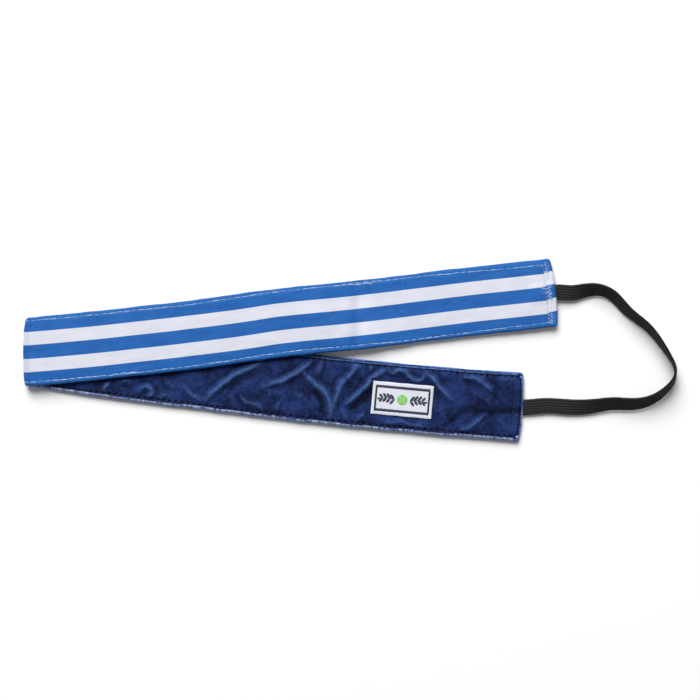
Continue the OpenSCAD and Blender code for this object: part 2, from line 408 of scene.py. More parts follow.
def build_face(name, which, arm, mapper, s_list):
    O, H, K, V = SEC.T
    S = np.asarray(s_list, float)
    I, J = len(S), len(O)
    s = np.repeat(S[:, None], J, 1)
    o = np.repeat(O[None], I, 0)
    h = np.repeat(H[None], I, 0).copy()
    L = arm.L
    top = K[None] == 1
    lift = face_top(which, arm, np.maximum(s, 0), o) * sstep((s + 1) / 4 + 0.4)
    edge = np.clip((H / ARM_T), 0, 1)[None]
    h = np.where(top, h + lift, h + lift * 0.0)
    # the relief fades into the rolled edges
    side = (K[None] == 0) & (H[None] > RB)
    near = face_top(which, arm, np.maximum(s, 0), np.sign(o) * (HW - RB))
    h = np.where(side, h + near * np.clip((H[None] - RB) / RB, 0, 1), h)
    # end wall: the recess closes over the last stretch
    wall = sstep((s - (L - 1.75)) / 0.25)
    rec = K[None] == 2
    h = np.where(rec, h * (1 - wall) + 0.04 * wall, h)
    # the end itself is rolled: the slab rounds off over its last 0.9 mm
    t = np.clip((s - (L - RB)) / RB, 0, 1)
    q = np.sqrt(np.maximum(0, 1 - t**2))
    q = np.maximum(q, 0.12)
    h = RB + (h - RB) * q
    o2 = o * (1 - 0.035 * (1 - q) * 1.0)
    # edges wander by a few hundredths
    wig = 0.09 * wobble(61 if which == "u" else 62, 6)(s) + 0.05 * wobble(63, 1.6)(s + 40 * np.sign(o))
    o2 = o2 + np.sign(o) * wig * sstep((np.abs(o) - 9) / 3)
    # the corners are turned round a little
    turn = np.clip(s - (L - 0.9), 0, 0.86)
    o2 = o2 - np.sign(o) * (0.9 - np.sqrt(0.9**2 - turn**2)) * sstep((np.abs(o) - 9) / 3)
    P = mapper(s, o2, h)
    hem_in = s - (L - HEM)
    shift = 0.42 * sstep((hem_in + 0.25) / 0.5) + 0.42 * np.clip(hem_in / HEM, 0, 1)
    vv = V[None] + 0 * s - shift + print_drift(which, s)
    uv = np.stack([s / 100, vv / 100], -1).reshape(-1, 2)
    rim = np.where(K == 0, np.clip((RB * 1.3 - H) / (RB * 0.5), 0, 1), 0)
    if which == "u":
        rim = np.clip(rim * np.where(O > 0, 0.0, 1.6), 0, 1)
    else:
        rim = rim * np.where(O > 0, 0.45, 1.0)
    rim = np.where(K == 2, 0.8, rim)[None] + 0 * s
    endlip = sstep((s - (L - 2.0)) / 0.5)
    rim_end = endlip * (K[None] != 1) * (H[None] < RB * 1.3)
    # tone carries painted shade: darker at the fold, in the bend where the upper arm comes off the lower one, and on
    # the +o rolled edge, which faces the key light
    q_ = s - 0.113 * o
    tone = 0.5 * bumpf(s, -0.35, 1.0) + 0.45 * bumpf(q_, 121.2, 1.9) + 0.2 * bumpf(q_, 112, 5)
    if which == "u":
        tone = tone + 1.25 * (K[None] == 0) * (O[None] > 0)
    else:
        tone = 0 * tone + 1.1 * (K[None] == 0) * (O[None] > 0)
    ob = add_mesh(name, P.reshape(-1, 3), ring_faces(I, J), uv, {"rim": rim.ravel(), "rim_end": rim_end.ravel(), "tone": tone.ravel()}, sharp=50)
    return ob


def s_samples(L, s0=0.0, step=0.36):
    a = np.arange(s0, L - 4.2, step)
    b = np.arange(L - 4.2, L - 1.2, 0.16)
    c = L - 1.2 + 1.2 * np.sin(np.linspace(0, math.pi / 2, 14))
    return np.r_[a, b, c]


fold_s = -FOLD_S + FOLD_S * np.linspace(0, 1, 29)[:-1]
face_lo = build_face("face_ribbon_lower", "l", LO, lo_map, s_samples(LO.L))
face_up = build_face("face_ribbon_upper", "u", UP, up_map, np.r_[fold_s, s_samples(UP.L)])

# ------------------------------------------------------------------ velvet lining
# Ridges of the lining, as (x, y) in millimetres, with height and half-width.
RIDGES = [
    ([(64.4, -17.9), (68.1, -13.8), (73.3, -10.1), (78.9, -6.8), (82.6, -5.1), (85.5, -3.1)], 0.95, 1.45),
    ([(63.6, -18.3), (60.7, -17.0), (57.5, -14.2), (55.9, -12.7)], 0.55, 1.3),
    ([(87.4, -12.5), (92.8, -10.5), (96.5, -8.6), (100.2, -6.4), (103.9, -3.2)], 0.95, 1.35),
    ([(100.4, -7.0), (102.6, -9.4), (105.6, -12.7), (108.5, -15.1), (110.4, -19.0), (110.2, -24.2)], 0.9, 1.6),
    ([(107.1, -3.6), (106.5, -6.8), (105.2, -9.7)], 0.55, 1.2),
    ([(120.4, -4.5), (117.8, -8.6), (115.0, -11.4), (113.0, -16.0), (111.1, -21.1)], 0.95, 1.5),
    ([(77.0, -14.6), (79.8, -18.5), (83.3, -19.4), (85.5, -22.0)], 0.6, 1.4),
    ([(90.4, -22.9), (90.9, -20.1), (92.2, -18.3)], 0.4, 1.0),
    ([(83.7, -12.3), (87.4, -13.8), (88.9, -16.8)], 0.35, 1.9),
    ([(71.1, -14.9), (74.0, -17.2), (76.3, -20.1)], 0.3, 1.6),
    ([(94.8, -14.6), (99.3, -16.4), (102.6, -19.4)], 0.32, 2.0),
    ([(116.0, -19.2), (121.0, -15.6), (124.7, -11.4), (128.0, -8.4), (131.7, -6.6)], 1.05, 1.3),
    ([(131.7, -6.6), (134.0, -8.1), (135.6, -6.6), (138.2, -7.5), (141.4, -10.5), (143.8, -10.7), (145.3, -7.7)], 0.8, 1.1),
    ([(145.3, -7.7), (148.4, -10.0), (151.2, -13.3), (153.4, -15.6), (156.0, -17.5)], 0.85, 1.4),
    ([(124.9, -5.1), (125.4, -7.7)], 0.5, 0.9),
    ([(114.8, -21.2), (117.1, -25.5)], 0.55, 1.1),
    ([(121.0, -25.7), (122.4, -23.7), (123.7, -25.7)], 0.5, 0.9),
    ([(128.9, -25.3), (132.7, -26.2), (136.4, -25.9), (140.1, -26.6), (146.7, -27.9)], 0.5, 1.2),
    ([(159.7, -9.2), (164.2, -9.7), (167.5, -11.9), (170.9, -15.3)], 0.8, 1.4),
    ([(158.2, -29.0), (161.8, -28.1), (164.6, -25.7), (168.3, -23.1)], 0.7, 1.3),
    ([(163.8, -15.3), (168.3, -17.5), (170.5, -19.4)], 0.35, 2.0),
    ([(150.1, -20.9), (152.7, -23.8), (153.4, -26.8)], 0.3, 1.6),
    ([(172.7, -12.0), (177.5, -12.0)], 0.22, 3.2),
    ([(173.1, -26.8), (176.1, -24.6), (178.7, -25.3)], 0.2, 2.2),
    ([(26.9, -14.2), (27.7, -12.7), (29.0, -11.6)], 0.8, 1.1),
    ([(39.2, -14.6), (42.7, -13.1), (44.7, -15.1), (42.7, -17.2)], 0.85, 1.2),
    ([(32.9, -11.0), (35.1, -10.5), (36.9, -12.0)], 0.5, 1.3),
    ([(49.2, -9.4), (51.4, -12.3), (54.0, -13.1)], 0.4, 1.5),
    ([(47.3, -17.5), (49.9, -16.0), (52.1, -17.2)], 0.5, 1.2),
    ([(58.5, -7.5), (61.8, -9.0), (64.8, -7.5)], 0.3, 1.7),
    ([(94.8, -4.0), (93.0, -6.0)], 0.3, 1.1),
    ([(135.6, -4.4), (139.7, -5.3)], 0.3, 1.0),
]
VALLEYS = [
    ([(172.0, -7.5), (172.0, -12.3), (171.6, -17.9)], 0.2, 1.1),
    ([(153.1, -27.2), (156.8, -24.2), (160.5, -21.8), (167.4, -22.5), (173.5, -21.8), (180.1, -22.0)], 0.36, 1.5),
    ([(116.0, -9.4), (117.8, -12.7)], 0.3, 1.0),
    ([(105.2, -14.9), (107.1, -18.6), (107.4, -22.0)], 0.4, 1.0),
    ([(127.1, -12.3), (123.7, -17.2), (118.6, -20.9)], 0.3, 1.3),
]


def polyline_field(xy, line):
    """(distance to the polyline, position along it 0..1)."""
    line = np.asarray(line, float)
    seg = np.linalg.norm(np.diff(line, axis=0), axis=1)
    cum = np.r_[0, np.cumsum(seg)]
    best = np.full(len(xy), 1e9)
    where = np.zeros(len(xy))
    for k in range(len(line) - 1):
        a, d = line[k], line[k + 1] - line[k]
        t = np.clip(((xy - a) @ d) / (d @ d), 0, 1)
        dist = np.linalg.norm(xy - a - t[:, None] * d, axis=1)
        better = dist < best
        best = np.where(better, dist, best)
        where = np.where(better, (cum[k] + t * seg[k]) / cum[-1], where)
    return best, where


def smooth_line(line):
    """Rounds a polyline's corners."""
    line = np.asarray(line, float)
    if len(line) < 3:
        return line
    u = np.r_[0, np.cumsum(np.linalg.norm(np.diff(line, axis=0), axis=1))]
    return spline(u, line)(np.linspace(0, u[-1], 6 * len(line)))


def ridge_height(xy):
    out = np.zeros(len(xy))
    j1, j2 = wobble2(71, 3.1, 3.1), wobble2(72, 3.1, 3.1)
    q = xy + 0.28 * np.c_[j1(xy[:, 0], xy[:, 1]), j2(xy[:, 0], xy[:, 1])]
    for line, A, w in RIDGES:
        d, t = polyline_field(q, smooth_line(line))
        n = np.sin(np.clip(t, 0.0, 1.0) * math.pi) ** 0.5
        end = np.where((t <= 0) | (t >= 1), np.exp(-((d / (0.8 * w)) ** 2)), 1)
        prof = A * (np.exp(-((d / w) ** 2)) - 0.26 * np.exp(-(((d - 2.1 * w) / (0.9 * w)) ** 2)))
        out = np.maximum(out, prof * (0.35 + 0.65 * n)) + 0.35 * np.minimum(out, prof * (0.35 + 0.65 * n))
    for line, A, w in VALLEYS:
        d, t = polyline_field(q, smooth_line(line))
        out = out - A * np.exp(-((d / w) ** 2)) * sstep((END_L[0] - 3.5 - q[:, 0]) / 3)
    return out


def lining_height_lo(s, o):
    """How far the lower lining stands proud of its flat level (towards the viewer)."""
    xy = LO.plan(s, o)
    flat = xy.reshape(-1, 2)
    r = ridge_height(flat).reshape(s.shape)
    # nothing stands up where the upper arm lies on it
    rel = flat - ORIGIN
    sU = np.clip(rel @ (END_U - ORIGIN) / np.linalg.norm(END_U - ORIGIN), 0, UP.L)
    cu = np.interp(sU, UP.S, UP.P[:, 1])
    clear = (cu - HW * 1.006 - flat[:, 1]).reshape(s.shape)  # > 0 outside the upper arm
    free = sstep((clear - 0.1) / 1.3)
    soft = 0.26 * wobble2(73, 6, 4.2)(s + 0.5 * o, o) + 0.15 * wobble2(74, 2.4, 1.9)(s - 0.6 * o, o)
    seam = o - np.where(o > 0, row_pos("l", 1, s), row_pos("l", -1, s))
    pill = 0.16 * (1 - (np.abs(o) / 10.6) ** 4)
    # short puckers that run in from the stitched rows
    pk = 0.30 * np.maximum(0, wobble(75, 2.1)(s + 60 * (o > 0))) * np.exp(-(((np.abs(o) - 9.4) / 1.4) ** 2))
    g = (r + 0.55 * soft + pk) * free + (0.25 * soft - 0.02) * (1 - free)
    g = g + np.where(np.abs(o) < 10.6, pill * (0.3 + 0.7 * free), 0)
    keep = 1 - sstep((np.abs(o) - 10.3) / 0.8)
    g = g * keep
    groove = 0.34 * np.exp(-((seam / 0.36) ** 2)) * (0.7 + 0.3 * np.cos(2 * math.pi * s / PITCH))
    endseam = 0.22 * np.exp(-(((s - (LO.L - HEM)) / 0.4) ** 2))
    lab = label_mask(flat).reshape(s.shape)
    g = g * (1 - lab) + 0.0 * lab
    g = g - groove - endseam
    under = 1 - free
    g = np.where(under > 0.5, np.minimum(g, 0.14), g)
    fade = sstep(s / 10)
    return g * fade


def free_of_upper(flat):
    rel = flat - ORIGIN
    sU = np.clip(rel @ (END_U - ORIGIN) / np.linalg.norm(END_U - ORIGIN), 0, UP.L)
    return np.interp(sU, UP.S, UP.P[:, 1]) - HW * 1.006 - flat[:, 1]


def painted_relief_light_lo(s, o):
    """Painted light on the lower lining: a painted highlight along each ridge's crest and on the puckers near the
    edges, and painted shade on the ridges' flanks, in the creases and along the sunken stitch rows and end seam.
    """
    flat = LO.plan(s, o).reshape(-1, 2)
    j1, j2 = wobble2(71, 3.1, 3.1), wobble2(72, 3.1, 3.1)
    q = flat + 0.28 * np.c_[j1(flat[:, 0], flat[:, 1]), j2(flat[:, 0], flat[:, 1])]
    out = np.zeros(len(q))
    painted_flank_shade = np.zeros(len(q))
    for line, A, w in RIDGES:
        d, t = polyline_field(q, smooth_line(line))
        n = np.sin(np.clip(t, 0.0, 1.0) * math.pi) ** 0.5
        out = np.maximum(out, A / 0.95 * np.exp(-((d / (0.62 * w)) ** 2)) * (0.35 + 0.65 * n))
        painted_flank_shade = np.maximum(painted_flank_shade, 0.5 * A * np.exp(-(((d - 1.75 * w) / (0.8 * w)) ** 2)) * n)
    out = out - painted_flank_shade * (1 - np.clip(out, 0, 1))
    for line, A, w in VALLEYS:
        d, t = polyline_field(q, smooth_line(line))
        out = out - 1.5 * A * np.exp(-((d / w) ** 2))
    out = out.reshape(s.shape)
    ao = np.abs(o)
    seam = o - np.where(o > 0, row_pos("l", 1, s), row_pos("l", -1, s))
    scallop = 0.85 + 0.3 * np.cos(2 * math.pi * s / PITCH + 40 * (o > 0)) + 0.25 * wobble(403, 1.3)(s + 50 * (o > 0))
    row = np.exp(-(((seam - 0.22 * np.cos(2 * math.pi * s / PITCH)) / 0.46) ** 2)) * scallop
    endrow = (0.75 + 0.3 * np.cos(2 * math.pi * o / 1.3)) * np.exp(-(((s - (LO.L - 1.35)) / 0.32) ** 2))
    inner = np.exp(-(((ao - 10.3) / 0.7) ** 2)) * np.maximum(0, wobble(75, 2.1)(s + 60 * (o > 0))) * 0.4
    return np.clip(out, -0.6, 1) * (1 - sstep((ao - 10.4) / 0.8)) + inner - 0.9 * np.maximum(row, endrow)


def lining_height_up(s, o):
    soft = 0.12 * wobble2(83, 7, 5)(s, o) + 0.07 * wobble2(84, 2.6, 2.1)(s, o)
    r = np.zeros(s.shape)
    for line, A, w in UP_RIDGES:
        d, t = polyline_field(np.c_[s.ravel(), o.ravel()], line)
        r = r + (A * np.exp(-((d / w) ** 2)) * (0.4 + 0.6 * np.sin(np.clip(t, 0, 1) * math.pi))).reshape(s.shape)
    pk = 0.12 * np.maximum(0, wobble(85, 2.3)(s + 60 * (o > 0))) * np.exp(-(((np.abs(o) - 9.4) / 1.4) ** 2))
    keep = 1 - sstep((np.abs(o) - 10.3) / 0.8)
    g = (np.minimum(r, 0.3) + soft + pk) * keep
    seam = o - np.where(o > 0, row_pos("u", 1, s), row_pos("u", -1, s))
    g = g - 0.26 * np.exp(-((seam / 0.34) ** 2)) * (0.7 + 0.3 * np.cos(2 * math.pi * s / PITCH))
    g = g - 0.2 * np.exp(-(((s - (UP.L - HEM)) / 0.4) ** 2))
    g = np.minimum(g, np.interp(s, [0, 100, 135, UP.L], [0.1, 0.1, 0.24, 0.3]))
    return g * sstep(s / 10)


UP_RIDGES = []
r_ = np.random.default_rng(90)
for _k in range(34):
    s0, o0 = r_.uniform(12, UP.L - 14), r_.uniform(-8, 8)
    ang, ln = r_.choice([-1, 1]) * r_.uniform(0.45, 1.2), r_.uniform(5, 14)
    bend_ = r_.uniform(-0.35, 0.35)
    pts_ = []
    for k in range(5):
        t = (k / 4 - 0.5) * ln
        pts_.append((s0 + t * math.cos(ang + bend_ * t / ln), np.clip(o0 + t * math.sin(ang + bend_ * t / ln), -10, 10)))
    UP_RIDGES.append((pts_, r_.uniform(0.14, 0.34), r_.uniform(0.8, 1.4)))

# label frame, from the CAD label
lab = cad_mm("woven_label")
lab_top = lab[lab[:, 2] > lab[:, 2].max() - 0.01][:, :2]
LAB_C = (lab_top.max(0) + lab_top.min(0)) / 2
_i = int(np.argmin(np.abs(LO.P[:, 0] - LAB_C[0])))
LAB_T = DIR_L.copy()
# the longest span of the label's outline is measured; its direction is taken from the smallest rectangle that holds it
_d = lab_top[:, None] - lab_top[None]
_n = np.linalg.norm(_d, axis=2)
_far = np.unravel_index(np.argmax(_n), _n.shape)
LAB_DIAG = float(_n.max())
_h = np.hypot(*(lab_top[_far[0]] - lab_top[_far[1]]))
best = None
for a in np.radians(np.arange(-12, 0, 0.02)):
    t = np.array([math.cos(a), math.sin(a)])
    m = np.array([-t[1], t[0]])
    area = np.ptp(lab_top @ t) * np.ptp(lab_top @ m)
    if best is None or area < best[0]:
        best = (area, t, float(np.ptp(lab_top @ t)), float(np.ptp(lab_top @ m)))
LAB_T, LAB_L, LAB_W = best[1], best[2], best[3]
LAB_N = np.array([-LAB_T[1], LAB_T[0]])
LAB_Z = float(lab[:, 2].max())


def label_mask(xy):
    a = np.abs((xy - LAB_C) @ LAB_T) - LAB_L / 2
    b = np.abs((xy - LAB_C) @ LAB_N) - LAB_W / 2
    d = np.maximum(a, b)
    return 1 - sstep((d - 0.1) / 1.1)


def build_lining(name, arm, mapper, height, s_list):
    e = HW - RB - 0.12
    O = np.r_[-e, -e + 0.12, -e + 0.3, np.linspace(-e + 0.5, e - 0.5, 73), e - 0.3, e - 0.12, e]
    S = np.asarray(s_list, float)
    I, J = len(S), len(O)
    s = np.repeat(S[:, None], J, 1)
    o = np.repeat(O[None], I, 0)
    grow = np.where(o > 0, EDGE[name][0], EDGE[name][1]) - e
    ragged = 0.10 * wobble(401, 0.9)(s + 90 * (o > 0)) + 0.08 * wobble(402, 3.1)(s + 90 * (o > 0))
    o = o + np.sign(o) * (grow + ragged) * sstep((np.abs(o) - 10.2) / (e - 10.2))
    g = height(np.maximum(s, 0), o) * (s > 0)
    # painted highlight and shade for the lining's ridges, creases and seams, handed to the material as an attribute
    painted_relief_light = PAINTED_RELIEF_LIGHT.get(name, lambda s, o: 0 * s)(np.maximum(s, 0), o) * (s > 0)
    L = arm.L
    eo = np.where(o > 0, EDGE[name][0], EDGE[name][1])
    out_ = np.clip(np.abs(o) - (HW - RB), 0, RB * 0.98)
    bull = RB - np.sqrt(RB**2 - out_**2)
    tuck = bull - 0.09 + 0.16 * np.clip((np.abs(o) - (eo - 0.35)) / 0.35, 0, 1) ** 2
    tuck = np.where(np.abs(o) > 10.9, tuck * sstep((np.abs(o) - 10.9) / 0.4), 0)
    oute = np.clip(s - (L - RB), 0, RB * 0.98)
    tuck_end = (RB - np.sqrt(RB**2 - oute**2)) - 0.09 + 0.16 * np.clip((s - (L - 1.1)) / 0.25, 0, 1) ** 2
    tuck_end = tuck_end * sstep((s - (L - 2.4)) / 0.5)
    h = -g + np.maximum(tuck, tuck_end)
    cover = (np.abs(o) > HW - RB - 0.5) & (np.abs(o) < eo - 0.3)
    h = np.where(cover, np.minimum(h, np.maximum(bull, tuck_end + 0.09) - 0.045), h)
    top = mapper(s, o, h)
    bot = mapper(s, o * 0.998, np.full_like(s, ARM_T - FACE_T - 0.12))
    uv = np.stack([s / 100, o / 100], -1).reshape(-1, 2)
    ob = add_mesh(name, np.r_[top.reshape(-1, 3), bot.reshape(-1, 3)], plate_faces(I, J), np.r_[uv, uv],
                  {"painted_relief_light": np.r_[painted_relief_light.ravel(), 0 * g.ravel()], "proud": np.r_[g.ravel(), 0 * g.ravel()]}, sharp=60)
    return ob


def lining_s(L, step=0.36):
    return np.r_[np.arange(0, L - 2.6, step), L - 2.4, L - 2.1, L - 1.85, L - 1.6, L - 1.4, L - 1.2, L - 1.05, L - 0.85, L - 0.7, L - 0.6]


EDGE = {"velvet_lining_lower": (HW - 0.28, HW - 0.74), "velvet_lining_upper": (12.05, 12.05)}
PAINTED_RELIEF_LIGHT = {"velvet_lining_lower": painted_relief_light_lo}


lin_lo = build_lining("velvet_lining_lower", LO, lo_map, lining_height_lo, lining_s(LO.L))
lin_up = build_lining("velvet_lining_upper", UP, up_map, lining_height_up, np.r_[fold_s, lining_s(UP.L)])


# ------------------------------------------------------------------ sewing threads
def tube(path, radius, sides=8, flat=0.8, up=None):
    """Vertices of a tube along a path (mm), pinched at both ends, with its ring and side counts; thread_piece gives it
    faces and caps.
    """
    p = np.asarray(path, float)
    t = np.gradient(p, axis=0)
    t /= np.linalg.norm(t, axis=1)[:, None]
    up = np.array([0, 0, 1.0]) if up is None else np.asarray(up, float)
    b = np.cross(t, up)
    b /= np.maximum(np.linalg.norm(b, axis=1), 1e-9)[:, None]
    n = np.cross(b, t)
    m = len(p)
    r = radius * np.minimum(1, 0.55 + 1.5 * np.minimum(np.arange(m), np.arange(m)[::-1]) / (m - 1))
    ang = np.arange(sides) * 2 * math.pi / sides
    v = p[:, None] + r[:, None, None] * (np.cos(ang)[None, :, None] * b[:, None] + flat * np.sin(ang)[None, :, None] * n[:, None])
    return v.reshape(-1, 3), m, sides


def thread_piece(name, tubes):
    V, F, base, U = [], [], 0, []
    for v, m, sides in tubes:
        V.append(v)
        F += ring_faces(m, sides, base)
        base += len(v)
        uu = np.repeat(np.arange(m) / (m - 1), sides)
        vv = np.tile(np.arange(sides) / sides, m)
        U.append(np.c_[uu, vv])
    return add_mesh(name, np.concatenate(V), F, np.concatenate(U), sharp=0)


def long_rows(name, which, arm, mapper, on_face, s0, s1, r=0.13, seed=0, extra=None):
    """Stitches of both long rows on one side of an arm."""
    rr = np.random.default_rng(100 + seed)
    tubes = []
    jobs = [(1, s0, s1, 0.0), (-1, s0, s1, 0.0)] + (extra or [])
    for side, a, b, off in jobs:
        s = a
        while s < b - 0.8:
            ln = PITCH * rr.uniform(0.93, 1.06) * (1.25 if on_face else 1.0)
            e = min(s + ln - (0.08 if on_face else 0.26), b)
            t = np.linspace(0, 1, 8)
            ss = s + (e - s) * t
            o = row_pos(which, side, np.maximum(ss, 0)) + off + rr.uniform(-0.05, 0.05) + (t - 0.5) * rr.uniform(-0.12, 0.12)
            if off:
                o = o + 0.12 * np.sin(ss * 1.7)
            sunk = rr.choice([0.0, 0.03, 0.06, 0.12], p=[0.45, 0.3, 0.17, 0.08])
            dip = (0.07 if on_face else 0.24) * (1 - np.sin(t * math.pi) ** 0.4)
            if on_face:
                surf = ARM_T + face_top(which, arm, np.maximum(ss, 0), o) * sstep((ss + 1) / 4 + 0.4)
                h = surf + r * 0.5 - sunk * 0.8 - dip
                up = mapper(ss[3:4], o[3:4], np.array([ARM_T + 1]))[0] - mapper(ss[3:4], o[3:4], np.array([ARM_T]))[0]
            else:
                hf = lining_height_lo if which == "l" else lining_height_up
                g = hf(np.maximum(ss, 0)[None], o[None])[0] * (ss > 0)
                h = -g - r * 0.35 + sunk * 0.6 + dip
                up = mapper(ss[3:4], o[3:4], np.array([-1.0]))[0] - mapper(ss[3:4], o[3:4], np.array([0.0]))[0]
            rad = r * rr.uniform(0.8, 1.1)
            tubes.append(tube(mapper(ss, o, h), rad, flat=0.55 if on_face else 0.8, up=up))
            s += ln
    return thread_piece(name, tubes)


def cross_row(which, arm, mapper, s_at, o0, o1, on_face, r=0.16, seed=0, pitch=1.9, slant=0.0, jitter=0.12):
    """Stitches that run across an arm at s_at."""
    rr = np.random.default_rng(200 + seed)
    tubes = []
    o = o0
    while o < o1 - 0.6:
        ln = pitch * rr.uniform(0.85, 1.1)
        e = min(o + ln - 0.25, o1)
        t = np.linspace(0, 1, 7)
        oo = o + (e - o) * t
        ss = s_at + slant * (t - 0.5) + rr.uniform(-jitter, jitter) + 0 * t
        dip = 0.22 * (1 - np.sin(t * math.pi) ** 0.6)
        sunk = rr.choice([0.0, 0.06, 0.12])
        if on_face:
            h = ARM_T + face_top(which, arm, ss, oo) + r * 0.6 - dip - sunk * 0.6
            up = (0, 0, 1)
        else:
            hf = lining_height_lo if which == "l" else lining_height_up
            h = -hf(ss[None], oo[None])[0] - r * 0.4 + dip
            up = (0, 0, 1)
        tubes.append(tube(mapper(ss, oo, h), r * rr.uniform(0.85, 1.1), up=up))
        o += ln
    return tubes


def strokes(which, arm, mapper, lines, r=0.105, on_face=True):
    """Single threads along short lines of (s from the end, o)."""
    out = []
    for ln in lines:
        ln = np.asarray(ln, float)
        u = np.r_[0, np.cumsum(np.linalg.norm(np.diff(ln, axis=0), axis=1))]
        k = max(6, int(u[-1] / 0.3))
        q = np.c_[np.interp(np.linspace(0, u[-1], k), u, ln[:, 0]), np.interp(np.linspace(0, u[-1], k), u, ln[:, 1])]
        ss, oo = arm.L - q[:, 0], q[:, 1]
        t = np.linspace(0, 1, k)
        dip = 0.2 * (1 - np.sin(t * math.pi) ** 0.4)
        if on_face:
            h = ARM_T + face_top(which, arm, ss, oo) + r * 0.7 - dip
        else:
            hf = lining_height_lo if which == "l" else lining_height_up
            h = -hf(ss[None], oo[None])[0] - r * 0.5 + dip
        out.append(tube(mapper(ss, oo, h), r, up=(0, 0, 1)))
    return out


face_rows_lo = long_rows("topstitch_face_lower", "l", LO, lo_map, True, 0.6, LO.L - HEM * 0.9, seed=1)
face_rows_up = long_rows("topstitch_face_upper", "u", UP, up_map, True, -2.6, UP.L - HEM * 0.9, seed=2,
                         extra=[(1, 117, 133, 0.32), (1, 122, 129, -0.3), (-1, 30, 40, 0.25)])
lin_rows_lo = long_rows("topstitch_lining_lower", "l", LO, lo_map, False, 0.6, LO.L - HEM * 0.9, seed=3)
lin_rows_up = long_rows("topstitch_lining_upper", "u", UP, up_map, False, 0.6, UP.L - HEM * 0.9, seed=4)

hem_w = ROW - 0.1


def zigzag_row(which, arm, mapper, s0, s1, o0, o1, step, r, seed):
    """A dense zigzag that binds the folded end."""
    rr = np.random.default_rng(500 + seed)
    tubes, o, k = [], o0, 0
    while o < o1 - step:
        a, b = (s0, s1) if k % 2 else (s1, s0)
        t = np.linspace(0, 1, 7)
        oo = o + step * t
        ss = arm.L - (a + (b - a) * t + rr.uniform(-0.12, 0.12))
        dip = 0.2 * (1 - np.sin(t * math.pi) ** 0.5)
        h = ARM_T + face_top(which, arm, ss, oo) + r * 0.5 - dip - rr.choice([0, 0.05, 0.10])
        tubes.append(tube(mapper(ss, oo, h), r * rr.uniform(0.85, 1.15), up=(0, 0, 1 if which == "u" else -1)))
        o += step
        k += 1
    return tubes


def hem_face(which, arm, mapper, seed):
    return (cross_row(which, arm, mapper, arm.L - HEM, -hem_w, hem_w, True, r=0.15, seed=seed, pitch=1.15)
            + zigzag_row(which, arm, mapper, 2.85, 1.55, -hem_w - 0.5, -6.6, 0.55, 0.12, seed)
            + cross_row(which, arm, mapper, arm.L - 1.25, -hem_w, -7.2, True, r=0.11, seed=seed + 3, pitch=1.0)
            + cross_row(which, arm, mapper, arm.L - 2.1, 3.0, 7.4, True, r=0.09, seed=seed + 4, pitch=1.9)
            + cross_row(which, arm, mapper, arm.L - 2.1, -6.4, -2.9, True, r=0.09, seed=seed + 5, pitch=1.9)
            + zigzag_row(which, arm, mapper, 2.85, 1.45, 7.5, hem_w + 0.4, 0.55, 0.12, seed + 30)
            + cross_row(which, arm, mapper, arm.L - 1.2, 7.6, hem_w, True, r=0.11, seed=seed + 7, pitch=1.0))


hem_up = thread_piece("hem_seam_upper", hem_face("u", UP, up_map, 1))
hem_lo = thread_piece("hem_seam_lower", hem_face("l", LO, lo_map, 5))
hem_up_in = thread_piece("hem_seam_lining_upper", cross_row("u", UP, up_map, UP.L - HEM, -hem_w, hem_w, False, seed=2, r=0.12))
hem_lo_in = thread_piece("hem_seam_lining_lower", cross_row("l", LO, lo_map, LO.L - HEM, -hem_w, hem_w, False, seed=6, r=0.12))
TACK = [
    [(3.1, 3.0), (2.0, 2.4), (3.0, 1.7), (1.8, 1.0), (3.0, 0.3), (1.9, -0.5), (3.0, -1.2), (1.8, -2.0), (3.0, -2.8)],
    [(1.9, 2.9), (1.4, 1.5)], [(1.7, 0.4), (1.5, -1.0)], [(1.9, -1.6), (1.5, -2.9)],
    [(2.9, 3.2), (1.5, 2.6)], [(2.8, 2.2), (1.4, 1.9)], [(2.9, 1.4), (1.5, 0.9)], [(2.9, 0.6), (1.5, 0.2)],
    [(2.9, -0.3), (1.5, -0.7)], [(2.9, -1.1), (1.6, -1.5)], [(2.9, -2.0), (1.5, -2.3)],
    [(3.2, 1.6), (4.9, 2.1)], [(3.3, 1.2), (5.3, 0.7)], [(3.3, 2.3), (4.4, 2.9)], [(3.3, 0.4), (4.3, -0.1)],
]
tack_up = thread_piece("bar_tack_upper", strokes("u", UP, up_map, TACK))
tack_lo = thread_piece("bar_tack_lower", strokes("l", LO, lo_map, TACK))

# ------------------------------------------------------------------ braided elastic
EW, ET = 5.75, 1.0
NECK_U = np.r_[END_U, up_base(np.array([UP.L]), np.array([0.0]))[0] + (ARM_T - FACE_T - ET / 2)]
NECK_L = np.r_[END_L, FACE_T + ET / 2]
cut_a = cad_mm("elastic_upper_run")
cut_b = cad_mm("elastic_lower_run")


def cut_centre(p, inner_is_low):
    """Centre of the end section at the open cut: its two outer and its two inner corners."""
    far = p[p[:, 0] > p[:, 0].max() - 2.5]
    low, high = far[far[:, 2] < 1.2], far[far[:, 2] > 5.2]
    pick = []
    for part in (low, high):
        pick.append(part[part[:, 0].argmax()])
        pick.append(part[part[:, 1].argmin() if inner_is_low else part[:, 1].argmax()])
    return np.mean(pick, axis=0)


FAR = (cut_centre(cut_a, True) + cut_centre(cut_b, False)) / 2
zu = NECK_U[2]


def rel(e, x, y, z, t):
    return (e[0] + x, e[1] + y, z, t)


def outw(e, d, s, z, t):
    return (e[0] + d[0] * s, e[1] + d[1] * s, z, t)


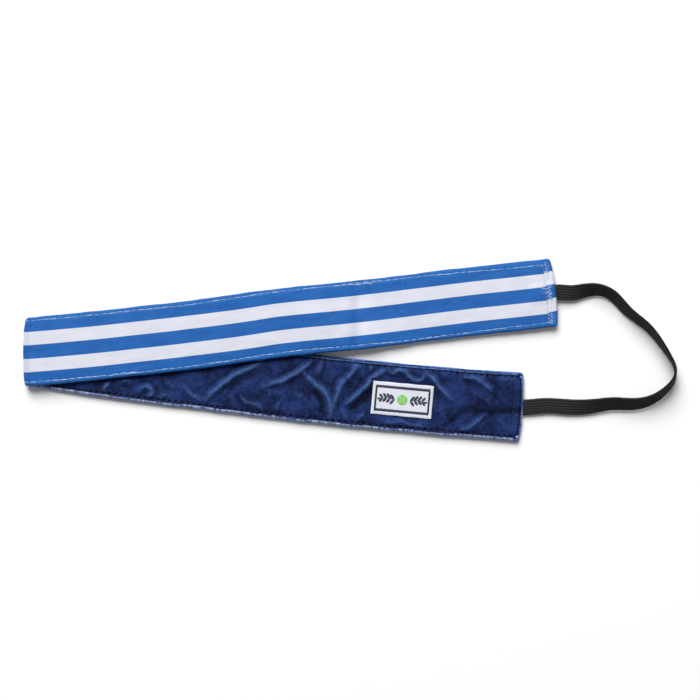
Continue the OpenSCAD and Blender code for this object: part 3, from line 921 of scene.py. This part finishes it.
WAY = [
    outw(END_U, DIR_U, -3.0, zu, 0), outw(END_U, DIR_U, 1.2, zu, 0), rel(END_U, 7.1, -0.10, zu + 0.05, 8),
    rel(END_U, 11.5, 0.65, 1.75, 24), rel(END_U, 16.3, 1.0, 2.4, 42), rel(END_U, 21.5, -1.05, 2.7, 54),
    rel(END_U, 27.1, -6.75, 2.88, 61), rel(END_U, 34.2, -12.5, 3.04, 69), rel(END_U, 39.0, -18.1, 3.12, 79),
    rel(END_U, 43.1, -24.3, 3.15, 90),
    (FAR[0], FAR[1], FAR[2], 98),
    rel(END_L, 56.35, 10.4, 3.1, 107), rel(END_L, 54.0, 7.0, 3.0, 117), rel(END_L, 50.3, 3.9, 2.86, 126),
    rel(END_L, 45.4, 1.7, 2.62, 136), rel(END_L, 39.5, 1.1, 2.38, 143), rel(END_L, 33.9, 1.25, 2.2, 148),
    rel(END_L, 28.4, 0.6, 1.85, 156), rel(END_L, 23.2, 0.0, 1.4, 167), rel(END_L, 16.5, 0.1, 1.1, 177),
    rel(END_L, 9.1, 0.5, 0.99, 180), outw(END_L, DIR_L, 1.2, NECK_L[2], 180), outw(END_L, DIR_L, -3.0, NECK_L[2], 180),
]
WAY = np.array(WAY)
wu = np.r_[0, np.cumsum(np.linalg.norm(np.diff(WAY[:, :3], axis=0), axis=1))]
way_f = spline(wu, WAY)


def build_elastic(name, k0, k1):
    u0, u1 = wu[k0], wu[k1]
    I = int((u1 - u0) / 0.28)
    u = np.linspace(u0, u1, I)
    q = way_f(u)
    c, tw = q[:, :3], q[:, 3]
    d = way_f(np.minimum(u + 0.05, wu[-1]))[:, :3] - way_f(np.maximum(u - 0.05, 0))[:, :3]
    T = d / np.linalg.norm(d, axis=1)[:, None]
    z = np.array([0, 0, 1.0])
    side = np.cross(z, T)
    side /= np.linalg.norm(side, axis=1)[:, None]
    upv = np.cross(T, side)
    a = np.radians(tw)[:, None]
    wdir = side * np.cos(a) + upv * np.sin(a)
    ndir = np.cross(T, wdir)
    m = 43
    x = np.linspace(-1, 1, m)
    ribs = 0.5 + 0.5 * np.cos((x + 1) * math.pi * 6 + math.pi)  # six ribs, a valley at each edge
    prof = 0.31 + 0.11 * ribs**0.7
    prof = prof * np.sqrt(np.clip(1 - np.abs(x) ** 14, 0, 1)) + 0.02
    secx = np.r_[x, x[::-1]] * EW / 2
    secn = np.r_[prof, -prof[::-1]] * ET / 0.9
    wig = 1 + 0.012 * wobble(301, 2.5)(u) + 0.01 * wobble(302, 0.8)(u)
    braid = 0.022 * np.cos(u[:, None] * 2 * math.pi / 0.95 + np.r_[x, x[::-1]][None] * math.pi * 6)
    nn = secn[None] + np.sign(secn)[None] * braid * np.r_[ribs, ribs[::-1]][None]
    P = c[:, None] + wdir[:, None] * (secx[None] * wig[:, None])[..., None] + ndir[:, None] * nn[..., None]
    J = P.shape[1]
    uv = np.stack([np.repeat(u[:, None], J, 1) / 100, np.repeat((np.r_[x, 2 + x] * EW / 2)[None], I, 0) / 100], -1)
    return add_mesh(name, P.reshape(-1, 3), ring_faces(I, J), uv.reshape(-1, 2),
                    {"rib": np.repeat(np.r_[ribs, ribs[::-1]][None], I, 0).ravel()}, sharp=0)


ela_up = build_elastic("elastic_braid_upper", 0, 10)
ela_lo = build_elastic("elastic_braid_lower", 10, 22)


# ------------------------------------------------------------------ woven label
def lab_xyz(a, b, z):
    """Label coordinates (along, across, height over its top) to the frame."""
    a, b, z = np.broadcast_arrays(np.asarray(a, float), np.asarray(b, float), np.asarray(z, float))
    xy = LAB_C + a[..., None] * LAB_T + b[..., None] * LAB_N
    warp = 0.10 * np.sin(a / 3.9 + 0.6) * (np.abs(b) / 6) ** 2 + 0.16 * (np.abs(a) / 11.2) ** 6 * (np.abs(b) / 6.1) ** 4
    return np.concatenate([xy, (LAB_Z + 0.10 + warp + z)[..., None]], -1)


def build_label():
    A = np.linspace(-LAB_L / 2, LAB_L / 2, 113)
    B = np.linspace(-LAB_W / 2, LAB_W / 2, 62)
    a = np.repeat(A[:, None], len(B), 1)
    b = np.repeat(B[None], len(A), 0)
    edge = np.maximum(np.abs(a) - LAB_L / 2, np.abs(b) - LAB_W / 2)
    round_ = -0.12 * np.exp(edge / 0.18)
    rib = 0.018 * np.cos(b * 2 * math.pi / 0.42)
    wav = 0.05 * np.sin(a * 0.9) * np.clip((np.abs(b) - LAB_W / 2 + 0.8) / 0.8, 0, 1)
    b2 = b + wav * np.sign(b)
    top = lab_xyz(a, b2, round_ + rib)
    bot = lab_xyz(a, b2, -0.34 + 0 * a)
    uv = np.stack([a / 100, b / 100], -1).reshape(-1, 2)
    return add_mesh("label_weave_panel", np.r_[top.reshape(-1, 3), bot.reshape(-1, 3)], plate_faces(*a.shape), np.r_[uv, uv], sharp=50)


def raised(outline_rows, z0=0.0, z1=0.10):
    """A closed raised strip from two matching edges: rows of (a, b) points."""
    l, r = [np.asarray(k, float) for k in outline_rows]
    n = len(l)
    mid = (l + r) / 2
    cols = [l, l * 0.75 + r * 0.25, mid, l * 0.25 + r * 0.75, r]
    hs = [z0, z1 * 0.85, z1, z1 * 0.85, z0]
    top = np.stack([lab_xyz(c[:, 0], c[:, 1], h) for c, h in zip(cols, hs)], 1)
    bot = np.stack([lab_xyz(c[:, 0], c[:, 1], z0 - 0.05) for c in cols], 1)
    return np.r_[top.reshape(-1, 3), bot.reshape(-1, 3)], plate_faces(n, 5)


def stroke(points, width):
    p = np.asarray(points, float)
    t = np.gradient(p, axis=0)
    t /= np.linalg.norm(t, axis=1)[:, None]
    nrm = np.c_[-t[:, 1], t[:, 0]]
    w = np.asarray(width, float) * np.ones(len(p))
    return p + nrm * w[:, None] / 2, p - nrm * w[:, None] / 2


def merge_parts(name, parts, sharp=0):
    V, F, base = [], [], 0
    for v, f in parts:
        V.append(v)
        F += [tuple(base + i for i in q) for q in f]
        base += len(v)
    V = np.concatenate(V)
    return add_mesh(name, V, F, V[:, :2] / 100, sharp=sharp)


label = build_label()
# a plain inner frame line, woven in navy
fx, fy = LAB_L / 2 - 1.35, LAB_W / 2 - 1.75
frame_line = []
for sgn in (1, -1):
    t = np.linspace(-fx, fx, 60)
    frame_line.append(raised(stroke(np.c_[t, sgn * fy + 0.02 * np.sin(t * 3.1)], 0.98), z0=0.02, z1=0.09))
for sgn in (1, -1):
    t = np.linspace(-fy, fy, 40)
    frame_line.append(raised(stroke(np.c_[sgn * fx + 0.05 * np.sin(t * 7.5), t], 0.72), z0=0.02, z1=0.09))
motif_navy = list(frame_line)
# generic motif: a ball between two sprigs of leaves
for sgn in (1, -1):
    t = np.linspace(2.75, 8.35, 30)
    arch = lambda x: 0.55 * np.sin((x - 2.75) / 5.6 * math.pi) - 0.25
    motif_navy.append(raised(stroke(np.c_[sgn * t, arch(t)], 0.30)))
    for k in range(4):
        x0 = 3.0 + 1.42 * k
        for up_ in (1, -1):
            ln = 2.3 - 0.14 * k
            ang = math.radians(50)
            u_ = np.linspace(0, 1, 14)
            bend_ = 0.22 * np.sin(u_ * math.pi)
            px_ = x0 + ln * u_ * math.cos(ang) + bend_ * 0.6
            py_ = arch(x0) + up_ * (0.12 + ln * u_ * math.sin(ang) + bend_ * 0.1)
            motif_navy.append(raised(stroke(np.c_[sgn * px_, py_], 0.98 * np.sin(np.clip(u_ * 0.94 + 0.05, 0, 1) * math.pi) ** 0.8 + 0.06)))
    u_ = np.linspace(0, 1, 12)
    motif_navy.append(raised(stroke(np.c_[sgn * (8.25 + 1.1 * u_), arch(8.25) - 0.05 * u_], 0.8 * np.sin(np.clip(u_ * 0.94 + 0.05, 0, 1) * math.pi) ** 0.8 + 0.05)))
motif = merge_parts("label_motif", motif_navy)
disc = []
rr_ = np.linspace(0.05, 1.95, 12)
th = np.linspace(0, 2 * math.pi, 41)[:-1]
BR = 0.98
gv = []
for r0 in rr_:
    zz = 0.06 * np.sqrt(max(0, 1 - (r0 / 2.05) ** 2)) + 0.02
    gv.append(lab_xyz(BR * r0 * np.cos(th), BR * r0 * np.sin(th), zz))
gv.append(lab_xyz(BR * 1.98 * np.cos(th), BR * 1.98 * np.sin(th), -0.06 + 0 * th))
gv = np.concatenate(gv)
gf = ring_faces(len(rr_) + 1, 40)
ball = add_mesh("label_ball", gv, gf, gv[:, :2] / 100, sharp=0)
seam_parts = []
for sgn in (1, -1):
    t = np.linspace(-1.0, 1.0, 24)
    pts = np.c_[sgn * (0.55 + 0.75 * t**2), 1.45 * t]
    v, f = raised(stroke(pts, 0.22), z0=0.03, z1=0.115)
    seam_parts.append((v, f))
ball_seam = merge_parts("label_ball_seam", seam_parts)
# sewing down the two short sides, in a wandering navy thread
lab_st = []
r5 = np.random.default_rng(77)
for sgn in (1, -1):
    b = -LAB_W / 2 + 1.2
    k = 0
    while b < LAB_W / 2 - 1.5:
        ln = r5.uniform(0.75, 0.95)
        t = np.linspace(0, 1, 7)
        bb = b + ln * t
        aa = sgn * fx + (0.11 if k % 2 else -0.11) * np.sin(t * math.pi) + r5.uniform(-0.05, 0.05)
        z = 0.15 - 0.13 * (1 - np.sin(t * math.pi) ** 0.6)
        lab_st.append(tube(lab_xyz(aa, bb, z), 0.21, up=(0, 0, 1)))
        b += ln + 0.05
        k += 1
label_st = thread_piece("label_sewing", lab_st)


# ------------------------------------------------------------------ materials
def lin(r, g, b):
    f = lambda c: (c / 255) / 12.92 if c / 255 <= 0.04045 else ((c / 255 + 0.055) / 1.055) ** 2.4
    return (f(r), f(g), f(b), 1)


class Nodes:
    def __init__(self, name):
        self.mat = bpy.data.materials.new(name)
        self.mat.use_nodes = True
        self.t = self.mat.node_tree
        self.t.nodes.clear()
        self.out = self.t.nodes.new("ShaderNodeOutputMaterial")
        self.bsdf = self.t.nodes.new("ShaderNodeBsdfPrincipled")
        self.t.links.new(self.bsdf.outputs[0], self.out.inputs[0])

    def n(self, kind, **kw):
        nd = self.t.nodes.new("ShaderNode" + kind)
        for k, v in kw.items():
            if k in ("operation", "data_type", "blend_type", "wave_type", "bands_direction", "wave_profile", "attribute_name",
                     "attribute_type", "noise_dimensions", "interpolation_type", "feature", "distance", "voronoi_dimensions", "clamp", "invert"):
                setattr(nd, k, v)
        return nd

    def put(self, sock, v):
        if isinstance(v, bpy.types.NodeSocket):
            self.t.links.new(v, sock)
        elif v is not None:
            sock.default_value = v

    def math(self, op, a, b=None, c=None, clamp=False):
        nd = self.n("Math", operation=op)
        nd.use_clamp = clamp
        self.put(nd.inputs[0], a)
        self.put(nd.inputs[1], b)
        self.put(nd.inputs[2], c)
        return nd.outputs[0]

    def ramp(self, x, lo, hi, a=0.0, b=1.0, smooth=True):
        nd = self.n("MapRange")
        nd.interpolation_type = "SMOOTHSTEP" if smooth else "LINEAR"
        for k, v in zip((0, 1, 2, 3, 4), (x, lo, hi, a, b)):
            self.put(nd.inputs[k], v)
        return nd.outputs[0]

    def mix(self, f, a, b):
        nd = self.n("Mix", data_type="RGBA")
        self.put(nd.inputs[0], f)
        self.put(nd.inputs[6], a)
        self.put(nd.inputs[7], b)
        return nd.outputs[2]

    def mul(self, f, a, b):
        nd = self.n("Mix", data_type="RGBA", blend_type="MULTIPLY")
        self.put(nd.inputs[0], f)
        self.put(nd.inputs[6], a)
        self.put(nd.inputs[7], b)
        return nd.outputs[2]

    def uv(self):
        nd = self.n("UVMap")
        nd.uv_map = "UVMap"
        sp = self.n("SeparateXYZ")
        self.t.links.new(nd.outputs[0], sp.inputs[0])
        u = self.math("MULTIPLY", sp.outputs[0], 100.0)
        v = self.math("MULTIPLY", sp.outputs[1], 100.0)
        return u, v

    def vec(self, x, y, z=0.0):
        nd = self.n("CombineXYZ")
        for k, v in enumerate((x, y, z)):
            self.put(nd.inputs[k], v)
        return nd.outputs[0]

    def obj_mm(self, scale=1000.0):
        tc = self.n("TexCoord")
        vm = self.n("VectorMath", operation="SCALE")
        self.t.links.new(tc.outputs["Object"], vm.inputs[0])
        vm.inputs["Scale"].default_value = scale
        return vm.outputs[0]

    def noise(self, vec, scale, detail=2.0, rough=0.5, distort=0.0):
        nd = self.n("TexNoise")
        self.put(nd.inputs["Vector"], vec)
        nd.inputs["Scale"].default_value = scale
        nd.inputs["Detail"].default_value = detail
        nd.inputs["Roughness"].default_value = rough
        nd.inputs["Distortion"].default_value = distort
        return nd.outputs[0]

    def attr(self, name):
        nd = self.n("Attribute")
        nd.attribute_name = name
        return nd.outputs["Fac"]

    def bump(self, height, strength, dist_mm, normal=None):
        nd = self.n("Bump")
        nd.inputs["Strength"].default_value = strength
        nd.inputs["Distance"].default_value = dist_mm * 0.001
        self.put(nd.inputs["Height"], height)
        if normal is not None:
            self.put(nd.inputs["Normal"], normal)
        return nd.outputs[0]

    def set(self, **kw):
        for k, v in kw.items():
            self.put(self.bsdf.inputs[k.replace("_", " ")], v)


def satin():
    m = Nodes("printed_satin")
    u, v = m.uv()
    w = m.vec(u, v)
    jit = m.math("MULTIPLY", m.math("SUBTRACT", m.noise(m.vec(u, 0.0), 1.3, 3), 0.5), 0.16)
    vj = m.math("ADD", v, jit)
    a = m.math("ABSOLUTE", vj)
    w1 = m.ramp(a, 2.44, 2.62)
    w2 = m.ramp(a, 7.32, 7.50)
    white = m.math("SUBTRACT", w1, w2, clamp=True)
    cloud = m.noise(m.vec(m.math("MULTIPLY", u, 0.10), m.math("MULTIPLY", v, 0.35)), 1.0, 3)
    grain = m.noise(m.vec(m.math("MULTIPLY", u, 1.1), m.math("MULTIPLY", v, 3.2)), 1.0, 3, 0.65)
    thread = m.noise(m.vec(m.math("MULTIPLY", u, 0.9), m.math("MULTIPLY", v, 7.0)), 1.0, 2)
    blue = m.mix(m.ramp(cloud, 0.32, 0.68), lin(29, 87, 161), lin(36, 98, 173))
    blue = m.mix(m.math("MULTIPLY", m.ramp(grain, 0.42, 0.70), 0.6), blue, lin(50, 114, 186))
    blue = m.mix(m.math("MULTIPLY", m.ramp(thread, 0.52, 0.75), 0.4), blue, lin(56, 120, 192))
    blue = m.mix(m.math("MULTIPLY", m.ramp(thread, 0.48, 0.28), 0.5), blue, lin(24, 76, 150))
    blue = m.mix(m.math("MULTIPLY", m.ramp(a, 10.7, 11.9), 0.45), blue, lin(42, 112, 190))
    wht = m.mix(m.ramp(cloud, 0.35, 0.65), lin(210, 213, 224), lin(216, 219, 229))
    wht = m.mix(m.math("MULTIPLY", m.ramp(thread, 0.55, 0.85), 0.25), wht, lin(196, 201, 216))
    col = m.mix(white, blue, wht)
    # a thin paler bleed at the print's edges
    bleed = m.math("MULTIPLY", white, m.math("SUBTRACT", 1.0, white))
    col = m.mix(m.math("MULTIPLY", bleed, 1.2, clamp=True), col, lin(70, 128, 196))
    # rolled rim: pale weft ends that cross the edge, seen end on
    tick = m.noise(m.vec(m.math("MULTIPLY", u, 1.25), m.math("MULTIPLY", v, 0.3)), 1.0, 2, 0.6)
    patch = m.noise(m.vec(m.math("MULTIPLY", u, 0.30), v), 1.0, 2)
    tone = m.math("ADD", m.math("MULTIPLY", m.ramp(tick, 0.36, 0.64), 0.75), m.math("MULTIPLY", m.ramp(patch, 0.3, 0.7), 0.3), clamp=True)
    rimc = m.mix(tone, lin(58, 82, 140), lin(164, 180, 214))
    endc = m.mix(m.math("MULTIPLY", tone, 0.55), lin(42, 92, 158), lin(150, 170, 208))
    rimc = m.mix(m.attr("rim_end"), rimc, endc)
    col = m.mix(m.attr("rim"), col, rimc)
    # painted shade: darker at the fold and along the bend lines, and on the +o rolled edge, darkened against the key
    # light that falls on it
    shade = m.mix(m.ramp(m.attr("tone"), 0.6, 0.8), lin(178, 184, 205), lin(170, 190, 196))
    col = m.mul(m.math("MULTIPLY", m.attr("tone"), 0.55, clamp=True), col, shade)
    # satin weave: long warp floats along the ribbon, fine weft ribs across it
    warp = m.math("SINE", m.math("MULTIPLY", v, 2 * math.pi / 0.24))
    weft = m.math("SINE", m.math("ADD", m.math("MULTIPLY", u, 2 * math.pi / 0.30), m.math("MULTIPLY", v, 9.0)))
    hgt = m.math("ADD", m.math("MULTIPLY", warp, 0.35), m.math("MULTIPLY", weft, 0.3))
    hgt = m.math("ADD", hgt, m.math("MULTIPLY", m.noise(w, 2.2, 3), 1.2))
    wr = m.noise(m.vec(m.math("MULTIPLY", u, 0.45), m.math("MULTIPLY", v, 0.22)), 1.0, 2)
    nrm = m.bump(wr, 0.25, 0.3)
    nrm = m.bump(hgt, 0.4, 0.03, nrm)
    m.set(Base_Color=col, Normal=nrm)
    m.set(Roughness=m.ramp(thread, 0.2, 0.9, 0.55, 0.70, smooth=False))
    m.bsdf.inputs["Specular IOR Level"].default_value = 0.13
    m.bsdf.inputs["Anisotropic"].default_value = 0.3
    m.bsdf.inputs["Sheen Weight"].default_value = 0.02
    m.bsdf.inputs["Sheen Roughness"].default_value = 0.4
    return m.mat


def velvet():
    m = Nodes("navy_velvet")
    p = m.obj_mm()
    brush = m.noise(p, 0.15, 4, 0.6, 0.5)
    fine = m.noise(p, 0.75, 4, 0.75)
    pile = m.noise(p, 3.2, 2, 0.6)
    painted_relief_light = m.attr("painted_relief_light")
    # painted sheen: a facing ramp lightens the lining where its surface turns away from the camera
    lw = m.n("LayerWeight")
    lw.inputs["Blend"].default_value = 0.5
    painted_grazing_sheen = m.ramp(lw.outputs["Facing"], 0.02, 0.30)
    base = m.mix(m.ramp(brush, 0.34, 0.68), lin(19, 27, 62), lin(37, 58, 113))
    base = m.mix(m.math("MULTIPLY", m.ramp(fine, 0.42, 0.70), 0.28), base, lin(40, 60, 116))
    col = m.mix(m.math("MULTIPLY", painted_grazing_sheen, 0.30), base, lin(62, 88, 140))
    # painted highlight: the lining is lighter along the ridge crests
    up_ = m.math("MULTIPLY", m.math("ADD", m.ramp(painted_relief_light, 0.05, 0.95), m.math("MULTIPLY", m.math("SUBTRACT", fine, 0.5), 1.7)), 0.74, clamp=True)
    up_ = m.math("MULTIPLY", up_, m.ramp(painted_relief_light, 0.02, 0.2))
    col = m.mix(up_, col, lin(72, 100, 152))
    # painted shade: darker beside the ridges, in the creases and along the sunken stitch rows
    down = m.ramp(m.math("MULTIPLY", painted_relief_light, -1.0), 0.04, 0.75)
    col = m.mix(m.math("MULTIPLY", down, 0.92), col, lin(9, 11, 28))
    col = m.mul(m.math("MULTIPLY", m.ramp(pile, 0.55, 0.3), 0.38), col, lin(130, 135, 160))
    grit = m.noise(p, 1.35, 3, 0.7)
    col = m.mul(m.math("MULTIPLY", m.ramp(grit, 0.52, 0.34), 0.42), col, lin(138, 144, 172))
    col = m.mix(m.math("MULTIPLY", m.ramp(grit, 0.52, 0.72), 0.20), col, lin(64, 90, 148))
    nrm = m.bump(fine, 0.5, 0.35)
    nrm = m.bump(pile, 0.6, 0.12, nrm)
    m.set(Base_Color=col, Normal=nrm, Roughness=0.88)
    m.bsdf.inputs["Specular IOR Level"].default_value = 0.08
    m.bsdf.inputs["Sheen Weight"].default_value = 0.22
    m.bsdf.inputs["Sheen Roughness"].default_value = 0.35
    m.bsdf.inputs["Sheen Tint"].default_value = lin(120, 150, 215)
    return m.mat


def thread_mat(name, c0, c1, rough=0.5):
    m = Nodes(name)
    u, v = m.n("UVMap"), None
    sp = m.n("SeparateXYZ")
    m.t.links.new(u.outputs[0], sp.inputs[0])
    geo = m.n("NewGeometry")
    rnd = geo.outputs["Random Per Island"]
    twist = m.math("SINE", m.math("ADD", m.math("MULTIPLY", sp.outputs[0], 38.0), m.math("MULTIPLY", sp.outputs[1], 2 * math.pi)))
    col = m.mix(m.ramp(rnd, 0.0, 1.0), c0, c1)
    col = m.mul(m.math("MULTIPLY", m.ramp(twist, 0.2, -1.0), 0.3), col, lin(110, 125, 150))
    m.set(Base_Color=col, Roughness=rough, Normal=m.bump(twist, 0.6, 0.05))
    m.bsdf.inputs["Sheen Weight"].default_value = 0.25
    return m.mat


def elastic_mat():
    m = Nodes("braided_elastic")
    u, v = m.uv()
    rib = m.attr("rib")
    w = m.vec(u, v)
    zig = m.math("SINE", m.math("ADD", m.math("MULTIPLY", u, 2 * math.pi / 0.62),
                                m.math("MULTIPLY", m.math("PINGPONG", v, 0.48), 11.0)))
    fuzz = m.noise(w, 3.6, 4, 0.7)
    # painted light and shade on the braid: lighter on the rib tops, darker in the valleys between them
    col = m.mix(m.ramp(rib, 0.15, 0.9), lin(22, 20, 21), lin(44, 41, 43))
    col = m.mix(m.math("MULTIPLY", m.ramp(zig, 0.0, 1.0), 0.3), col, lin(55, 52, 53))
    col = m.mix(m.math("MULTIPLY", m.ramp(fuzz, 0.55, 0.8), 0.4), col, lin(64, 60, 61))
    hgt = m.math("ADD", m.math("MULTIPLY", zig, 0.5), m.math("MULTIPLY", fuzz, 0.8))
    m.set(Base_Color=col, Roughness=0.66, Normal=m.bump(hgt, 0.5, 0.05))
    m.bsdf.inputs["Specular IOR Level"].default_value = 0.16
    m.bsdf.inputs["Sheen Weight"].default_value = 0.02
    return m.mat


def label_mat():
    m = Nodes("label_weave")
    u, v = m.uv()
    ribs = m.math("SINE", m.math("MULTIPLY", v, 2 * math.pi / 0.21))
    cross = m.math("SINE", m.math("MULTIPLY", u, 2 * math.pi / 0.26))
    spk = m.noise(m.vec(u, v), 2.5, 3, 0.6)
    col = m.mix(m.ramp(spk, 0.35, 0.7), lin(212, 216, 229), lin(230, 232, 240))
    col = m.mul(m.math("MULTIPLY", m.ramp(ribs, 0.0, -1.0), 0.2), col, lin(196, 201, 216))
    hgt = m.math("ADD", m.math("MULTIPLY", ribs, 0.5), m.math("MULTIPLY", cross, 0.35))
    m.set(Base_Color=col, Roughness=0.6, Normal=m.bump(hgt, 0.5, 0.04))
    m.bsdf.inputs["Sheen Weight"].default_value = 0.2
    return m.mat


def weave_mat(name, c0, c1):
    m = Nodes(name)
    u, v = m.uv()
    p = m.obj_mm()
    spk = m.noise(p, 3.0, 3, 0.6)
    rows = m.math("SINE", m.math("MULTIPLY", v, 2 * math.pi / 0.22))
    col = m.mix(m.ramp(spk, 0.3, 0.7), c0, c1)
    m.set(Base_Color=col, Roughness=0.55, Normal=m.bump(rows, 0.5, 0.04))
    m.bsdf.inputs["Sheen Weight"].default_value = 0.2
    return m.mat


M_SATIN, M_VELVET, M_ELASTIC, M_LABEL = satin(), velvet(), elastic_mat(), label_mat()
M_FTHREAD = thread_mat("face_thread", lin(122, 166, 220), lin(208, 223, 246))
M_LTHREAD = thread_mat("lining_thread", lin(10, 12, 30), lin(20, 26, 56), 0.7)
M_NAVY = weave_mat("label_navy", lin(12, 18, 42), lin(30, 38, 68))
M_GREEN = weave_mat("label_green", lin(108, 192, 66), lin(130, 208, 84))
M_WHITE = weave_mat("label_white", lin(208, 214, 212), lin(226, 230, 226))
M_LST = thread_mat("label_thread", lin(14, 20, 44), lin(34, 42, 74))

for ob, mt in ((face_lo, M_SATIN), (face_up, M_SATIN), (lin_lo, M_VELVET), (lin_up, M_VELVET), (face_rows_lo, M_FTHREAD),
               (face_rows_up, M_FTHREAD), (lin_rows_lo, M_LTHREAD), (lin_rows_up, M_LTHREAD), (hem_up, M_FTHREAD),
               (hem_lo, M_FTHREAD), (hem_up_in, M_LTHREAD), (hem_lo_in, M_LTHREAD), (tack_up, M_FTHREAD), (tack_lo, M_FTHREAD), (ela_up, M_ELASTIC), (ela_lo, M_ELASTIC),
               (label, M_LABEL), (motif, M_NAVY), (ball, M_GREEN), (ball_seam, M_WHITE), (label_st, M_LST)):
    ob.data.materials.append(mt)

# ------------------------------------------------------------------ ride, bake, replace
for ob, body in ((face_lo, "lower_arm"), (lin_lo, "lower_arm"), (face_rows_lo, "lower_arm"), (lin_rows_lo, "lower_arm"),
                 (hem_lo, "lower_arm"), (tack_lo, "lower_arm"), (label, "lower_arm"), (motif, "lower_arm"), (ball, "lower_arm"),
                 (ball_seam, "lower_arm"), (label_st, "lower_arm"), (hem_up, "upper_arm"), (tack_up, "upper_arm"),
                 (hem_up_in, "upper_arm"), (hem_lo_in, "lower_arm")):
    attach(ob, body)
for ob in (face_up, lin_up, face_rows_up, lin_rows_up):
    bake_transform(ob)


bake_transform(ela_up)
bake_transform(ela_lo)

for ob, nodes, sl in (
    (face_lo, ["lower_face_ribbon"], "printed_satin"), (face_up, ["upper_face_ribbon"], "printed_satin"),
    (lin_lo, ["lower_velvet_lining"], "navy_velvet"), (lin_up, ["upper_velvet_lining"], "navy_velvet"),
    (face_rows_lo, ["lower_face_topstitch"], "face_thread"), (face_rows_up, ["upper_face_topstitch"], "face_thread"),
    (lin_rows_lo, ["lower_lining_topstitch"], "lining_thread"), (lin_rows_up, ["upper_lining_topstitch"], "lining_thread"),
    (hem_up, ["upper_hem_seam"], "face_thread"), (hem_lo, ["lower_hem_seam"], "face_thread"),
    (tack_up, ["upper_bar_tack"], "face_thread"), (tack_lo, ["lower_bar_tack"], "face_thread"),
    (ela_up, ["elastic_upper_tail", "elastic_upper_run"], "braided_elastic"),
    (ela_lo, ["elastic_lower_tail", "elastic_lower_run"], "braided_elastic"),
    (label, ["woven_label"], "label_weave"), (label_st, ["label_stitch"], "label_thread"),
):
    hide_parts(*nodes)

# ------------------------------------------------------------------ stage, light, camera
bpy.ops.mesh.primitive_plane_add(size=3.4)
floor = bpy.context.object
floor.name = "floor"
floor.location.z = -0.00002
fm = Nodes("floor_white")
fm.set(Base_Color=(0.97, 0.97, 0.97, 1), Roughness=0.9, Normal=fm.bump(fm.noise(fm.obj_mm(), 0.4, 3), 0.05, 0.05))
fm.bsdf.inputs["Specular IOR Level"].default_value = 0.1
floor.data.materials.append(fm.mat)

CX, CY = 0.11781, 0.00065


def area(name, loc, size, power, target=(CX, CY, 0), color=(1, 1, 1)):
    l = bpy.data.lights.new(name, "AREA")
    l.shape = "DISK"
    l.size = size
    l.energy = power
    l.color = color
    ob = bpy.data.objects.new(name, l)
    ob.location = loc
    ob.rotation_euler = (Vector(target) - Vector(loc)).to_track_quat("-Z", "Y").to_euler()
    scene.collection.objects.link(ob)
    return ob


area("key", (CX - 0.60, CY + 2.34, 1.78), 2.45, 158.0)
world = bpy.data.worlds.new("studio")
scene.world = world
world.use_nodes = True
bg = world.node_tree.nodes["Background"]
bg.inputs[0].default_value = (1, 1, 1, 1)
bg.inputs[1].default_value = 0.20
# past the floor's edge the camera sees plain white
wt = world.node_tree
seen = wt.nodes.new("ShaderNodeBackground")
seen.inputs[0].default_value = (1, 1, 1, 1)
seen.inputs[1].default_value = 0.98
path = wt.nodes.new("ShaderNodeLightPath")
pick = wt.nodes.new("ShaderNodeMixShader")
wt.links.new(path.outputs["Is Camera Ray"], pick.inputs[0])
wt.links.new(bg.outputs[0], pick.inputs[1])
wt.links.new(seen.outputs[0], pick.inputs[2])
wt.links.new(pick.outputs[0], wt.nodes["World Output"].inputs[0])

cam = bpy.data.cameras.new("cam")
cam.lens, cam.sensor_width = 85, 36
cam.clip_start, cam.clip_end = 0.01, 10
co = bpy.data.objects.new("cam", cam)
co.location = (CX, CY, 0.6131)
co.rotation_euler = (0, 0, 0)
scene.collection.objects.link(co)
scene.camera = co
scene.view_settings.view_transform = "Standard"
scene.view_settings.look = "None"
scene.view_settings.exposure = 0
scene.view_settings.gamma = 1
